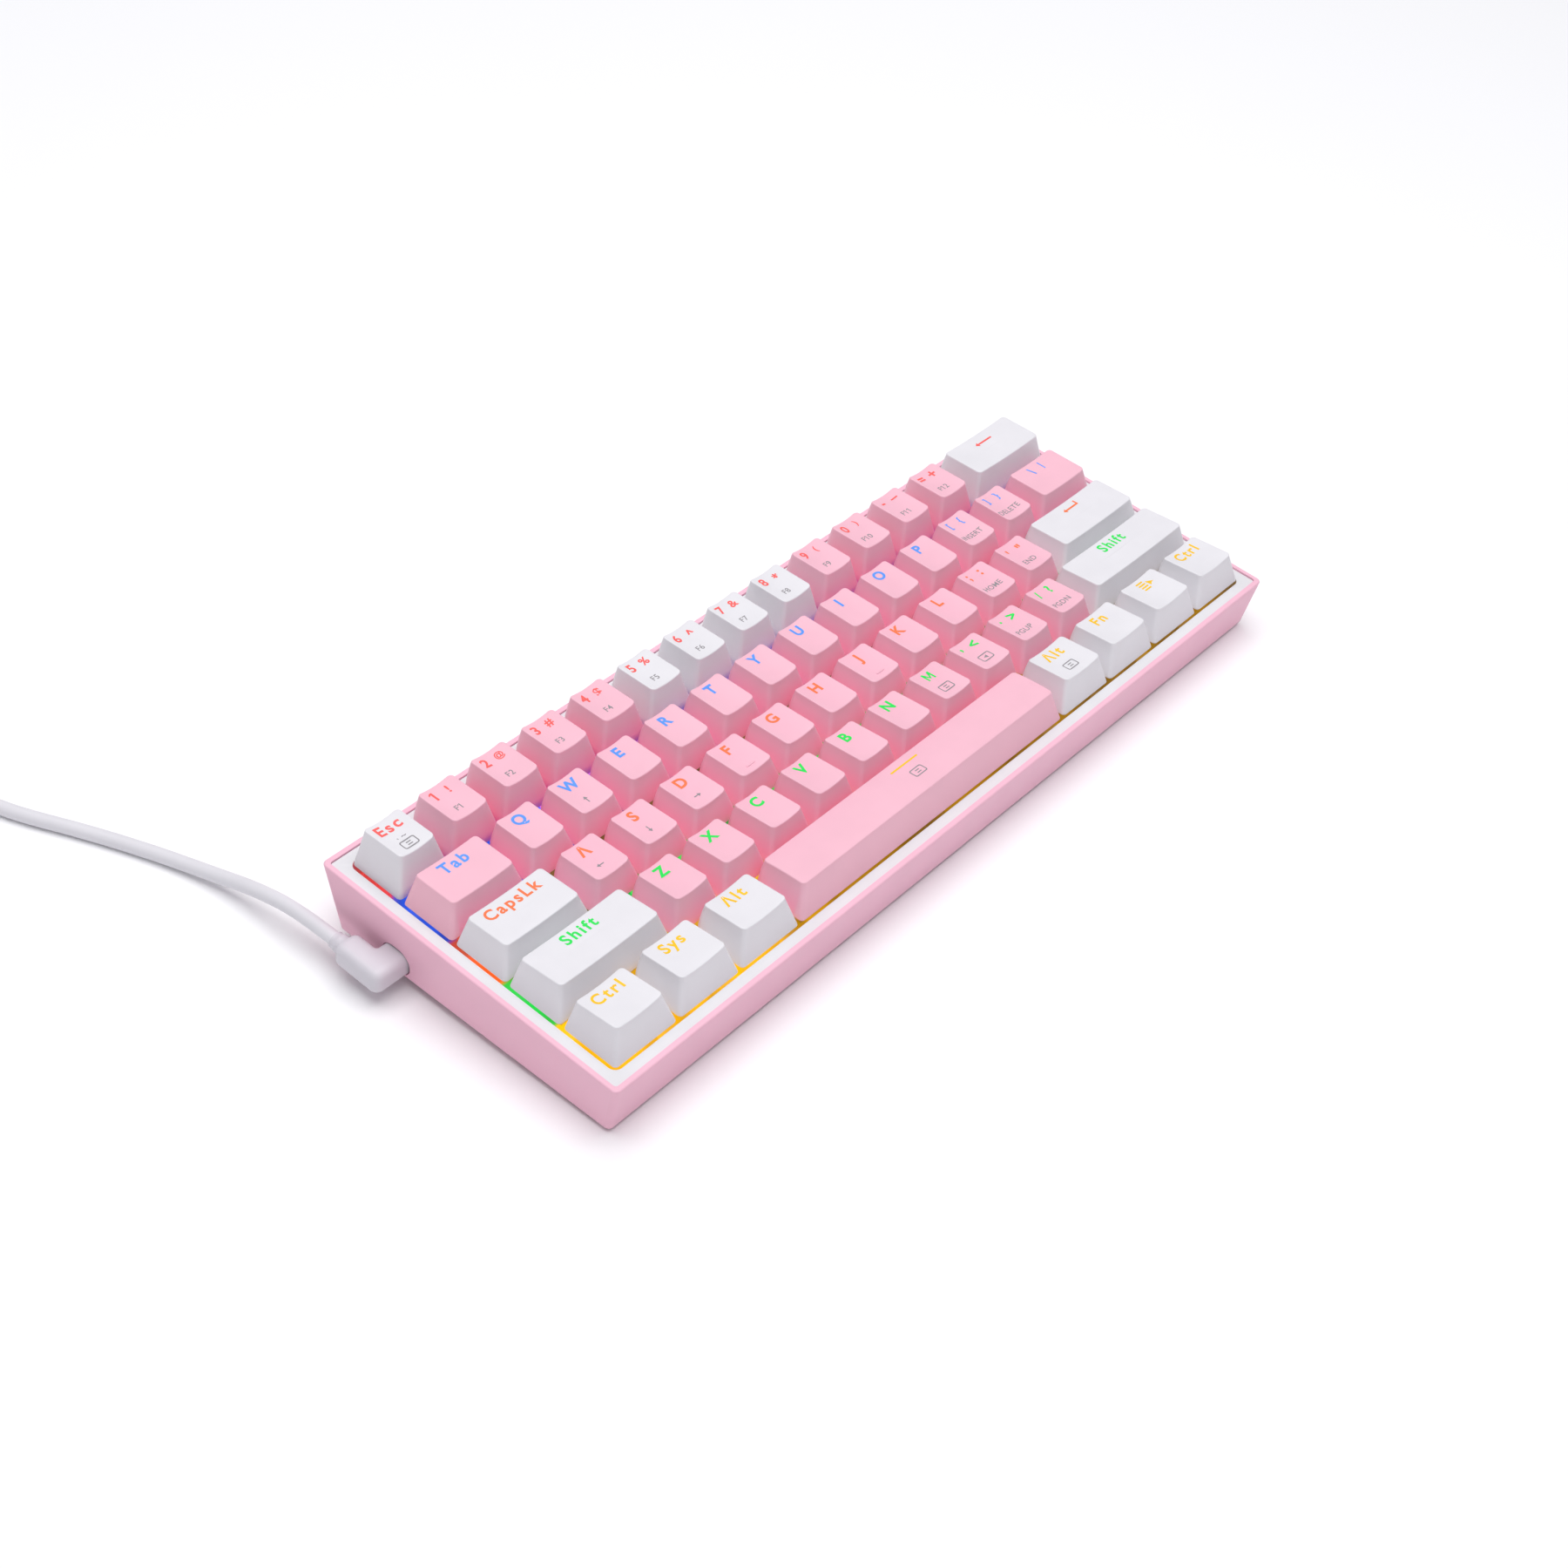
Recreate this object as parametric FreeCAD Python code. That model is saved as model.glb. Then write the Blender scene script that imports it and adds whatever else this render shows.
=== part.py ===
import FreeCAD, Part
import math
import os
from FreeCAD import Placement, Rotation, Vector

# Sixty-one-key mechanical keyboard with a detachable cable, in millimetres.
#
# Every piece is first drawn in the board frame: X to the right, Y to the back, Z square to the
# keys, with the origin at the middle of the key field in the plane of the keycaps' lower edges.
# board_to_floor then tilts the board to its typing angle and stands it on its feet at Z = 0.
# Only the cable, which lies on the floor, is drawn in the floor frame directly.

# ---- Driving dimensions ----------------------------------------------------------------------

TYPING_ANGLE = 4.0          # degrees between the key plane and the floor
PITCH = 19.05               # spacing of the keys, one unit
FIELD_UNITS_WIDE = 15.0
FIELD_WIDTH = FIELD_UNITS_WIDE * PITCH
KEY_TRAVEL = 4.0

# Keycaps
CAP_GAP = 0.95              # between two neighbouring skirts
CAP_WALL = 1.35
CAP_CEILING = 2.2           # from the top's rim to the inside of the cap
CAP_TOP_INSET = 2.95        # how much narrower each side of the top is than the skirt
CAP_TOP_DEPTH = 14.2
CAP_CORNER_RADIUS = 1.6
CAP_DISH = 0.65             # depth of the finger dish
CAP_POST_RADIUS = 2.75
FLAT_TOP_UNITS = 6                      # caps at least this wide have no finger dish
CROSS_LENGTH = 4.1
CROSS_WIDTH_X = 1.3
CROSS_WIDTH_Y = 1.2
CROSS_TOP = 3.1

# Each row of caps: Y in units, height of the top's front edge, of its back edge, and how far the
# top sits behind the middle of the skirt.
ROW_PROFILES = {
    "number_row": (2, 11.9, 11.4, 1.25),
    "top_row": (1, 9.75, 9.4, 1.05),
    "home_row": (0, 9.25, 8.4, 1.2),
    "lower_row": (-1, 10.1, 8.5, 1.3),
    "space_row": (-2, 10.1, 8.5, 1.5),
}

# Keys from left to right with their widths in units.
KEY_ROWS = {
    "number_row": [("escape", 1)] + [("digit_%s" % d, 1) for d in "1234567890"]
    + [("minus", 1), ("equals", 1), ("backspace", 2)],
    "top_row": [("tab", 1.5)] + [(letter, 1) for letter in "qwertyuiop"]
    + [("left_bracket", 1), ("right_bracket", 1), ("backslash", 1.5)],
    "home_row": [("caps_lock", 1.75)] + [(letter, 1) for letter in "asdfghjkl"]
    + [("semicolon", 1), ("quote", 1), ("enter", 2.25)],
    "lower_row": [("left_shift", 2.25)] + [(letter, 1) for letter in "zxcvbnm"]
    + [("comma", 1), ("full_stop", 1), ("slash", 1), ("right_shift", 2.75)],
    "space_row": [("left_ctrl", 1.25), ("left_super", 1.25), ("left_alt", 1.25), ("space", 6.25),
                  ("right_alt", 1.25), ("fn", 1.25), ("menu", 1.25), ("right_ctrl", 1.25)],
}

# The keys of each of these nodes share one joint; every other key has its own.
SHARED_NODES = {
    "pink_number_and_symbol_keys": ["digit_%s" % d for d in "123490"]
    + ["minus", "equals", "left_bracket", "right_bracket", "backslash", "semicolon", "quote",
       "comma", "full_stop", "slash"],
    "white_number_and_modifier_keys": ["digit_%s" % d for d in "5678"]
    + ["left_super", "right_alt", "fn", "menu", "right_ctrl"],
}

# Half the distance between the two stabilisers of each wide key.
STABILISED_KEYS = {"backspace": 11.938, "enter": 11.938, "left_shift": 11.938,
                   "right_shift": 11.938, "space": 50.0}

# Heights of the stack, in the board frame
PLATE_TOP = -6.9
PLATE_THICKNESS = 1.5
BOARD_TOP = PLATE_TOP - 5.0
BOARD_THICKNESS = 1.6
BOARD_BOTTOM = BOARD_TOP - BOARD_THICKNESS
HOUSING_FLANGE_TOP = PLATE_TOP + 1.0
HOUSING_TOP = -0.3

# Switches, each about the middle of its key
SWITCH_CUTOUT = 14.0                    # square hole in the plate
SWITCH_BODY = 13.9
SWITCH_FLANGE = 15.6
SWITCH_INSIDE = 11.5
SWITCH_COVER_TOP = (12.2, 11.6)
COVER_THICKNESS = 1.3
STEM_OPENING = (7.6, 6.4)
STEM_NECK = (6.6, 5.4)
STEM_SHOULDERS = (7.2, 7.0)
NECK_TOP = -0.5
SHOULDER_TOP = -2.0
SHOULDER_BOTTOM = -5.2
STEM_PIN_RADIUS = 1.0
STEM_PIN_BOTTOM = -7.9
PEG_RADIUS = 1.95
PEG_LENGTH = 3.0
PEG_BORE_RADIUS = 1.4
SWITCH_FLOOR = 1.0
SPRING_RADIUS = 1.95
SPRING_WIRE_RADIUS = 0.16
SPRING_WIRE_SIDES = 6
SPRING_TURNS = 5
CONTACTS = [(-4.5, 2.54, 0.3, 2.0), (2.54, 5.0, 2.0, 0.3)]     # X, Y and leaf size
CONTACT_HEIGHT = 4.4
PIN_RADIUS = 0.4
PIN_LENGTH = 2.7
LED_Y = -5.08
LED_SIZE = (3.1, 2.7)
LED_FLANGE = (5.0, 2.0)

# Stabilisers, each about the middle of its stem
STABILISER_ARM = 8.0                    # from the wire's axis to the middle of the stem
STABILISER_STEM = (4.0, 5.2)
STABILISER_CHANNEL = ((-3.3, 3.3), (-4.4, 9.2))
STABILISER_FLANGE = ((-4.0, 4.0), (-5.4, 9.7))
STABILISER_CUTOUT = ((-3.5, 3.5), (-4.8, 9.4))                 # hole in the plate
STABILISER_SINK = ((-2.5, 2.5), (-3.2, 5.0))                   # hole in the circuit board
WIRE_RADIUS = 0.75
WIRE_AXIS_Z = BOARD_TOP + 1.75
WIRE_TIP_Z = WIRE_AXIS_Z + KEY_TRAVEL / 2

# Case: a tray whose four walls lean in towards the bottom
LIP_TOP = 0.3
CASE_TOP_HALF = (148.08, 52.83)
CASE_BOTTOM_FRONT = (-51.0, -17.15)     # Y and Z of the lower front edge
CASE_BOTTOM_BACK = (46.9, -21.4)        # Y and Z of the lower back edge
CASE_SIDE_LEAN = 0.0619                 # inward per millimetre downward
CASE_CORNER_RADIUS = 1.8
CASE_LOWER_EDGE_RADIUS = 1.2
CASE_LIP_RADIUS = 0.45                  # outer edge of the lip
CASE_WALL = 2.0
CASE_FLOOR = 2.0
SHELF_TOP = -2.8
POCKET_HALF = (146.5, 51.1)             # opening that takes the frame
CAVITY_HALF = (144.7, 49.2)             # below the shelf, down to the plate
FRAME_OPENING_HALF = (142.95, 47.65)
FRAME_SKIRT_HALF = (143.3, 47.95)       # inside the skirt, under the rim
FRAME_RIM_HEIGHT = 1.4
FRAME_TOP = -0.2
FRAME_FIT = 0.1
FRAME_CORNER_RADIUS = 2.5               # of the opening round the keys
FRAME_EDGE_RADIUS = 0.25                # along both sides of its top
PLATE_HALF = (144.5, 49.0)

# Circuit board outline: left, right, front and back
BOARD_EDGES = (-142.3, 142.3, -47.4, 46.2)
SCREW_SPOTS = [(-110.0, 28.575), (0.0, 28.575), (110.0, 28.575), (-95.0, -28.575),
               (76.0, -28.575), (-40.0, -9.525), (45.0, -9.525)]
SCREW_LENGTH = 5.2
SCREW_RADIUS = 0.98
SCREW_HEAD_RADIUS = 1.8
SCREW_HEAD_HEIGHT = 1.3
BOSS_RADIUS = 2.5

# Controller, in a flat package under the circuit board
CHIP_SPOT = (-90.49, 0.0)
CHIP_SIZE = 7.0
CHIP_SPAN = 9.0                         # across the ends of its leads
CHIP_LEADS = 12                         # on each side
CHIP_LEAD_PITCH = 0.5
CHIP_LEAD_WIDTH = 0.22

# Rubber feet
FOOT_SIZE = (22.0, 9.0)
FOOT_SPOTS = [(-124.0, -42.0), (124.0, -42.0), (-124.0, 37.0), (124.0, 37.0)]
FOOT_REVEAL = 1.2                       # of the front feet, below the case
FOOT_POCKET = 0.6

# Socket, plug and cable
SOCKET_Y = 25.0
SOCKET_SIZE = (7.3, 9.0, 3.26)
SOCKET_Z = BOARD_BOTTOM - SOCKET_SIZE[2] / 2
SOCKET_MOUTH_X = -143.5
PLUG_X = (-158.0, -149.9)
PLUG_Y = (20.7, 37.2)
PLUG_HALF_HEIGHT = 3.8
PLUG_LEG = (8.8, 7.9)
PLUG_LEG_END_X = -145.8
PLUG_TIP_END_X = -137.4
PLUG_TIP = (8.24, 2.44)
PLUG_TIP_HOLLOW = (7.4, 1.6)
RELIEF_LENGTH = 3.2
RELIEF_RADIUS = 3.4
CABLE_DIAMETER = 4.2

# The cable's way over the floor after it leaves the plug's relief, in the floor frame.
CABLE_ROUTE = [
    (-153.95, 54.0, 10.3),
    (-154.4, 71.0, 7.4),
    (-156.4, 88.0, 3.4),
    (-161.2, 106.0, 2.3),
    (-168.9, 126.0, 2.3),
    (-179.0, 148.0, 2.3),
    (-183.0, 168.0, 2.3),
    (-183.3, 184.0, 2.3),
]
COIL_CENTRE = (-210.5, 184.0)
COIL_MIDDLE_RADIUS = 23.0
COIL_LAYERS = 3
COIL_BOTTOM = 0.1
COIL_EDGE_RADIUS = 2.0

# The plug for the computer, lying along Y on the coil: its Y and its X from the coil's middle
USB_A_X = -12.7
USB_A_RELIEF_END = 3.0
USB_A_RELIEF = (2.9, 6.0)               # radius and length
GRIP_LENGTH = 24.0
GRIP_HALF_WIDTH = 6.0
GRIP_HEIGHT = 7.6
SHELL_LENGTH = 12.0
SHELL_HEIGHT = 4.5
SHELL_WALL = 0.4
TONGUE_HEIGHT = 1.75


# ---- Shape helpers ---------------------------------------------------------------------------

def box(x_range, y_range, z_range):
    """A block between three pairs of coordinates, given in either order."""
    lows = [min(pair) for pair in (x_range, y_range, z_range)]
    sizes = [abs(pair[1] - pair[0]) for pair in (x_range, y_range, z_range)]
    return Part.makeBox(*sizes, Vector(*lows))


def centred_box(width, depth, z_range, centre=(0.0, 0.0)):
    x, y = centre
    return box((x - width / 2, x + width / 2), (y - depth / 2, y + depth / 2), z_range)


def rod(radius, z_range, centre=(0.0, 0.0)):
    low, high = min(z_range), max(z_range)
    return Part.makeCylinder(radius, high - low, Vector(centre[0], centre[1], low))


def rod_along_x(radius, x_range, y, z):
    low, high = min(x_range), max(x_range)
    return Part.makeCylinder(radius, high - low, Vector(low, y, z), Vector(1, 0, 0))


def rounded_outline(width, depth, radius, centre=(0.0, 0.0), z=0.0):
    """A rectangle with rounded corners, as a closed wire in a plane of constant Z."""
    x, y = centre
    corners = [(1, 1), (-1, 1), (-1, -1), (1, -1)]
    edges = []
    last_end = None
    first_start = None
    for quarter, (side_x, side_y) in enumerate(corners):
        middle = Vector(x + side_x * (width / 2 - radius), y + side_y * (depth / 2 - radius), z)
        angles = [math.radians(90 * quarter + step) for step in (0, 45, 90)]
        points = [middle + Vector(radius * math.cos(a), radius * math.sin(a), 0) for a in angles]
        if last_end is None:
            first_start = points[0]
        elif (points[0] - last_end).Length > 1e-6:
            edges.append(Part.LineSegment(last_end, points[0]).toShape())
        edges.append(Part.Arc(*points).toShape())
        last_end = points[2]
    if (first_start - last_end).Length > 1e-6:
        edges.append(Part.LineSegment(last_end, first_start).toShape())
    return Part.Wire(edges)


def rounded_prism(width, depth, radius, z_range, centre=(0.0, 0.0)):
    low, high = min(z_range), max(z_range)
    outline = rounded_outline(width, depth, radius, centre, low)
    return Part.Face(outline).extrude(Vector(0, 0, high - low))


def rounded_prism_along_x(width_y, height_z, radius, x_range, centre_yz):
    """A rounded bar lying along X, with its section centred at the given Y and Z."""
    low, high = min(x_range), max(x_range)
    bar = rounded_prism(height_z, width_y, radius, (0.0, high - low))
    bar.rotate(Vector(0, 0, 0), Vector(0, 1, 0), 90)
    bar.translate(Vector(low, centre_yz[0], centre_yz[1]))
    return bar


def rectangle(x_range, y_range, z):
    (x0, x1), (y0, y1) = x_range, y_range
    return Part.makePolygon([Vector(x0, y0, z), Vector(x1, y0, z), Vector(x1, y1, z),
                             Vector(x0, y1, z), Vector(x0, y0, z)])


def circle(radius, centre, z):
    return Part.Wire(Part.makeCircle(radius, Vector(centre[0], centre[1], z)))


def sheet_with_holes(outline, holes, thickness):
    """A flat sheet, drawn at its lower face and made thick upwards."""
    face = Part.Face([outline] + holes)
    face.validate()
    return face.extrude(Vector(0, 0, thickness))


def six_sided(bottom, top):
    """A solid between two four-cornered outlines, both listed anticlockwise seen from above."""
    low = [Vector(*corner) for corner in bottom]
    high = [Vector(*corner) for corner in top]
    rings = [low[::-1], high]
    for i in range(4):
        j = (i + 1) % 4
        rings.append([low[i], low[j], high[j], high[i]])
    shell = Part.Shell([Part.Face(Part.makePolygon(ring + [ring[0]])) for ring in rings])
    shell.sewShape()
    solid = Part.Solid(shell)
    solid.fix(1e-6, 1e-6, 1e-6)
    return solid


def corners_of(x_half, y_front, y_back, z_front, z_back, x_half_back=None):
    """Four corners of an outline whose front and back edges run along X."""
    back = x_half if x_half_back is None else x_half_back
    return [(-x_half, y_front, z_front), (x_half, y_front, z_front),
            (back, y_back, z_back), (-back, y_back, z_back)]


def fuse_all(first, others):
    return first.multiFuse(others).removeSplitter()


def copies_at(shape, places):
    return [shape.translated(Vector(*place)) for place in places]


# ---- Places ----------------------------------------------------------------------------------

def case_bottom_z(y):
    """Height of the case's underside at a distance from front to back."""
    (y0, z0), (y1, z1) = CASE_BOTTOM_FRONT, CASE_BOTTOM_BACK
    return z0 + (z1 - z0) * (y - y0) / (y1 - y0)


def case_half_width(z):
    """Half the case's width at a height on its side walls."""
    return CASE_TOP_HALF[0] - CASE_SIDE_LEAN * (LIP_TOP - z)


def case_back_y(z):
    """Y of the case's back wall at a height."""
    (y_low, z_low), y_high = CASE_BOTTOM_BACK, CASE_TOP_HALF[1]
    return y_high + (y_low - y_high) * (LIP_TOP - z) / (LIP_TOP - z_low)


def floor_lift():
    """How far the board frame's origin is above the floor, so that the front feet show."""
    y = FOOT_SPOTS[0][1]
    angle = math.radians(TYPING_ANGLE)
    return -(y * math.sin(angle) + (case_bottom_z(y) - FOOT_REVEAL) * math.cos(angle))


def floor_z(y):
    """Height of the floor in the board frame at a distance from front to back."""
    angle = math.radians(TYPING_ANGLE)
    return -(floor_lift() + y * math.sin(angle)) / math.cos(angle)


def board_to_floor():
    """The tilt and lift that stand the board frame on the floor."""
    shift = Vector(0, LIP_TOP * math.sin(math.radians(TYPING_ANGLE)), floor_lift())
    return Placement(shift, Rotation(Vector(1, 0, 0), TYPING_ANGLE))


def node_of_key(name):
    for node, members in SHARED_NODES.items():
        if name in members:
            return node
    return "key_" + name


def key_places():
    """Every key as (name, row, width in units, X, Y)."""
    keys = []
    for row, row_keys in KEY_ROWS.items():
        y = ROW_PROFILES[row][0] * PITCH
        left = -FIELD_WIDTH / 2
        for name, units in row_keys:
            keys.append((name, row, units, left + units * PITCH / 2, y))
            left += units * PITCH
    return keys


# ---- Keys ------------------------------------------------------------------------------------

def top_height_above(row, y):
    """Height of a cap's top rim at a distance from the middle of its skirt."""
    _, front_height, back_height, top_shift = ROW_PROFILES[row]
    share = (y - (top_shift - CAP_TOP_DEPTH / 2)) / CAP_TOP_DEPTH
    return front_height + (back_height - front_height) * share


def cap_body(row, units, inset, drop):
    """The cap's outline as a leaning block, drawn in by inset and lowered at the top by drop."""
    _, front_height, back_height, top_shift = ROW_PROFILES[row]
    half_width = (units * PITCH - CAP_GAP) / 2
    half_depth = (PITCH - CAP_GAP) / 2
    lean = CAP_TOP_INSET / ((front_height + back_height) / 2)
    y_front = top_shift - CAP_TOP_DEPTH / 2
    y_back = top_shift + CAP_TOP_DEPTH / 2
    front, back = front_height - drop, back_height - drop
    bottom = corners_of(half_width - inset, -half_depth + inset, half_depth - inset, 0.0, 0.0)
    top = corners_of(half_width - inset - lean * front, y_front + inset, y_back - inset,
                     front, back, half_width - inset - lean * back)
    return six_sided(bottom, top)


def round_upright_edges(solid, radius):
    """Round the four edges that run up the solid's corners."""
    upright = []
    for edge in solid.Edges:
        ends = [vertex.Point for vertex in edge.Vertexes]
        if abs(ends[0].z - ends[1].z) > 0.6 * edge.Length:
            upright.append(edge)
    return solid.makeFillet(radius, upright)


def dish_cutter(row, units):
    """A long cylinder that scoops the finger dish along the top."""
    _, front_height, back_height, top_shift = ROW_PROFILES[row]
    top_width = units * PITCH - CAP_GAP - 2 * CAP_TOP_INSET
    radius = top_width ** 2 / (8 * CAP_DISH) + CAP_DISH / 2
    slope = Vector(0, CAP_TOP_DEPTH, back_height - front_height).normalize()
    up = Vector(0, -slope.z, slope.y)
    middle = Vector(0, top_shift, (front_height + back_height) / 2)
    start = middle + up * (radius - CAP_DISH) - slope * CAP_TOP_DEPTH
    return Part.makeCylinder(radius, 2 * CAP_TOP_DEPTH, start, slope)


def cross(z_range):
    """The cross that joins a cap to its stem."""
    across = centred_box(CROSS_LENGTH, CROSS_WIDTH_X, z_range)
    along = centred_box(CROSS_WIDTH_Y, CROSS_LENGTH, z_range)
    return across.fuse(along).removeSplitter()


def keycap(row, units, post_spots):
    """A hollow cap with a finger dish and one post for each stem."""
    outside = round_upright_edges(cap_body(row, units, 0.0, 0.0), CAP_CORNER_RADIUS)
    if units < FLAT_TOP_UNITS:
        outside = outside.cut(dish_cutter(row, units))
    inside = cap_body(row, units, CAP_WALL, CAP_CEILING)
    shell = outside.cut(inside)
    post_top = top_height_above(row, 0.0) - CAP_CEILING + 0.8
    posts = [rod(CAP_POST_RADIUS, (0.0, post_top), (x, 0.0)) for x in post_spots]
    sockets = [cross((-0.1, CROSS_TOP)).translated(Vector(x, 0, 0)) for x in post_spots]
    return shell.multiFuse(posts).cut(Part.makeCompound(sockets)).removeSplitter()


def switch_stem():
    """The sliding stem: cross, neck, shoulders under the cover, and a pin inside the spring."""
    neck = centred_box(*STEM_NECK, (SHOULDER_TOP, NECK_TOP))
    shoulders = centred_box(*STEM_SHOULDERS, (SHOULDER_BOTTOM, SHOULDER_TOP))
    pin = rod(STEM_PIN_RADIUS, (STEM_PIN_BOTTOM, SHOULDER_BOTTOM))
    return fuse_all(shoulders, [neck, pin, cross((NECK_TOP, CROSS_TOP))])


def stabiliser_stem():
    """The stem beside the switch, with a slot at the back for the tip of the wire."""
    slot_half = WIRE_RADIUS + 1.0
    block = centred_box(*STABILISER_STEM, (WIRE_TIP_Z - slot_half - 0.7, NECK_TOP))
    slot = box((-1.05, 1.05), (-0.3, 3.0), (WIRE_TIP_Z - slot_half, WIRE_TIP_Z + slot_half))
    return block.cut(slot).fuse(cross((NECK_TOP, CROSS_TOP))).removeSplitter()


def key_solids(key, switch, side_stem, caps):
    """A key's cap and stems, as separate solids at their place on the board."""
    name, row, units, x, y = key
    spread = STABILISED_KEYS.get(name)
    spots = [0.0] if spread is None else [-spread, 0.0, spread]
    if (row, units) not in caps:
        caps[row, units] = keycap(row, units, spots)
    stems = [side_stem.translated(Vector(spot, 0, 0)) for spot in spots if spot]
    return copies_at(Part.makeCompound([caps[row, units], switch] + stems), [(x, y, 0)])[0].Solids


# ---- Switches and what is round them ---------------------------------------------------------

def switch_base():
    """The lower housing: a tub that clips into the plate and stands on the circuit board."""
    floor_top = BOARD_TOP + SWITCH_FLOOR
    body = centred_box(SWITCH_BODY, SWITCH_BODY, (BOARD_TOP, PLATE_TOP))
    flange = centred_box(SWITCH_FLANGE, SWITCH_FLANGE, (PLATE_TOP, HOUSING_FLANGE_TOP))
    peg = rod(PEG_RADIUS, (BOARD_TOP - PEG_LENGTH, BOARD_TOP))
    inside = centred_box(SWITCH_INSIDE, SWITCH_INSIDE, (floor_top, HOUSING_FLANGE_TOP))
    bore = rod(PEG_BORE_RADIUS, (BOARD_TOP - PEG_LENGTH + 0.7, floor_top))
    window = centred_box(LED_SIZE[0] + 0.3, LED_SIZE[1] - 0.1, (BOARD_TOP, floor_top),
                         (0.0, LED_Y + 0.6))
    pin_slots = [centred_box(1.0, 1.0, (BOARD_TOP, floor_top), (x, y))
                 for x, y, _, _ in CONTACTS]
    body = fuse_all(body, [flange, peg])
    return body.cut(Part.makeCompound([inside, bore, window] + pin_slots))


def switch_cover():
    """The upper housing, narrowing to the opening that the stem slides in."""
    foot_half = SWITCH_FLANGE / 2 - 0.3
    top_x, top_y = SWITCH_COVER_TOP[0] / 2, SWITCH_COVER_TOP[1] / 2
    bottom = corners_of(foot_half, -foot_half, foot_half, HOUSING_FLANGE_TOP, HOUSING_FLANGE_TOP)
    top = corners_of(top_x, -top_y, top_y, HOUSING_TOP, HOUSING_TOP)
    outside = round_upright_edges(six_sided(bottom, top), 0.8)
    ceiling = HOUSING_TOP - COVER_THICKNESS
    inside = centred_box(SWITCH_INSIDE, SWITCH_INSIDE - 1.7, (HOUSING_FLANGE_TOP, ceiling))
    opening = centred_box(*STEM_OPENING, (ceiling, HOUSING_TOP))
    return outside.cut(Part.makeCompound([inside, opening]))


def switch_spring():
    """A coil spring between the base's floor and the stem's shoulders."""
    margin = SPRING_WIRE_RADIUS + 0.02
    low = BOARD_TOP + SWITCH_FLOOR + margin
    height = SHOULDER_BOTTOM - margin - low
    helix = Part.makeHelix(height / SPRING_TURNS, height, SPRING_RADIUS)
    path = Part.Wire(helix.Edges)
    start = path.Edges[0].valueAt(path.Edges[0].FirstParameter)
    corners = []
    for step in range(SPRING_WIRE_SIDES + 1):
        angle = 2 * math.pi * step / SPRING_WIRE_SIDES
        across, up = math.cos(angle), math.sin(angle)
        corners.append(start + Vector(across, 0, up) * SPRING_WIRE_RADIUS)
    section = Part.makePolygon(corners)
    return path.makePipeShell([section], True, True).translated(Vector(0, 0, low))


def contact_leaf(x, y, size_x, size_y):
    """A spring leaf standing in the base, with its pin through the circuit board."""
    floor_top = BOARD_TOP + SWITCH_FLOOR
    leaf = centred_box(size_x, size_y, (floor_top, BOARD_TOP + CONTACT_HEIGHT), (x, y))
    pin = rod(PIN_RADIUS, (BOARD_TOP - PIN_LENGTH, floor_top), (x, y))
    return leaf.fuse(pin).removeSplitter()


def backlight_led():
    """A lamp that shines up through the circuit board, with its flange underneath."""
    body = centred_box(*LED_SIZE, (BOARD_BOTTOM, BOARD_TOP - 0.1), (0.0, LED_Y))
    flange = centred_box(*LED_FLANGE, (BOARD_BOTTOM - 0.4, BOARD_BOTTOM), (0.0, LED_Y))
    return body.fuse(flange).removeSplitter()


def stabiliser_housing(inner_side):
    """A channel that guides one stem; the wire clips into the wall on the inner side."""
    channel = box(*STABILISER_CHANNEL, (BOARD_TOP + 0.2, PLATE_TOP + 2.0))
    flange = box(*STABILISER_FLANGE, (PLATE_TOP, PLATE_TOP + 1.0))
    half_width = STABILISER_STEM[0] / 2 + 0.35
    hollow = box((-half_width, half_width), (-STABILISER_STEM[1] / 2 - 0.35, 11.0),
                 (BOARD_TOP, PLATE_TOP + 2.0))
    clip = rod_along_x(WIRE_RADIUS + 0.1, (0.0, 5.0 * inner_side), STABILISER_ARM, WIRE_AXIS_Z)
    notch = box((0.0, 5.0 * inner_side), (STABILISER_ARM - 0.6, STABILISER_ARM + 0.6),
                (BOARD_TOP, WIRE_AXIS_Z))
    return channel.fuse(flange).removeSplitter().cut(Part.makeCompound([hollow, clip, notch]))


def stabiliser_wire(spread):
    """A bent wire: a long bar behind the switch and an arm to each stem, raised at rest."""
    bar = rod_along_x(WIRE_RADIUS, (-spread, spread), STABILISER_ARM, WIRE_AXIS_Z)
    swing = math.asin(KEY_TRAVEL / 2 / STABILISER_ARM)
    direction = Vector(0, -math.cos(swing), math.sin(swing))
    pieces = []
    for side in (-1, 1):
        corner = Vector(side * spread, STABILISER_ARM, WIRE_AXIS_Z)
        pieces.append(Part.makeSphere(WIRE_RADIUS, corner))
        pieces.append(Part.makeCylinder(WIRE_RADIUS, STABILISER_ARM, corner, direction))
    return bar.multiFuse(pieces)


# ---- Plate, circuit board and fasteners ------------------------------------------------------

def stabiliser_spots(keys):
    """Each stabiliser as (X, Y, side of its switch on which it stands)."""
    spots = []
    for name, _, _, x, y in keys:
        if name in STABILISED_KEYS:
            spots += [(x + side * STABILISED_KEYS[name], y, side) for side in (-1, 1)]
    return spots


def rectangle_at(x, y, x_range, y_range, z):
    """A rectangle given about a spot, as a closed wire."""
    return rectangle([x + edge for edge in x_range], [y + edge for edge in y_range], z)


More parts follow.
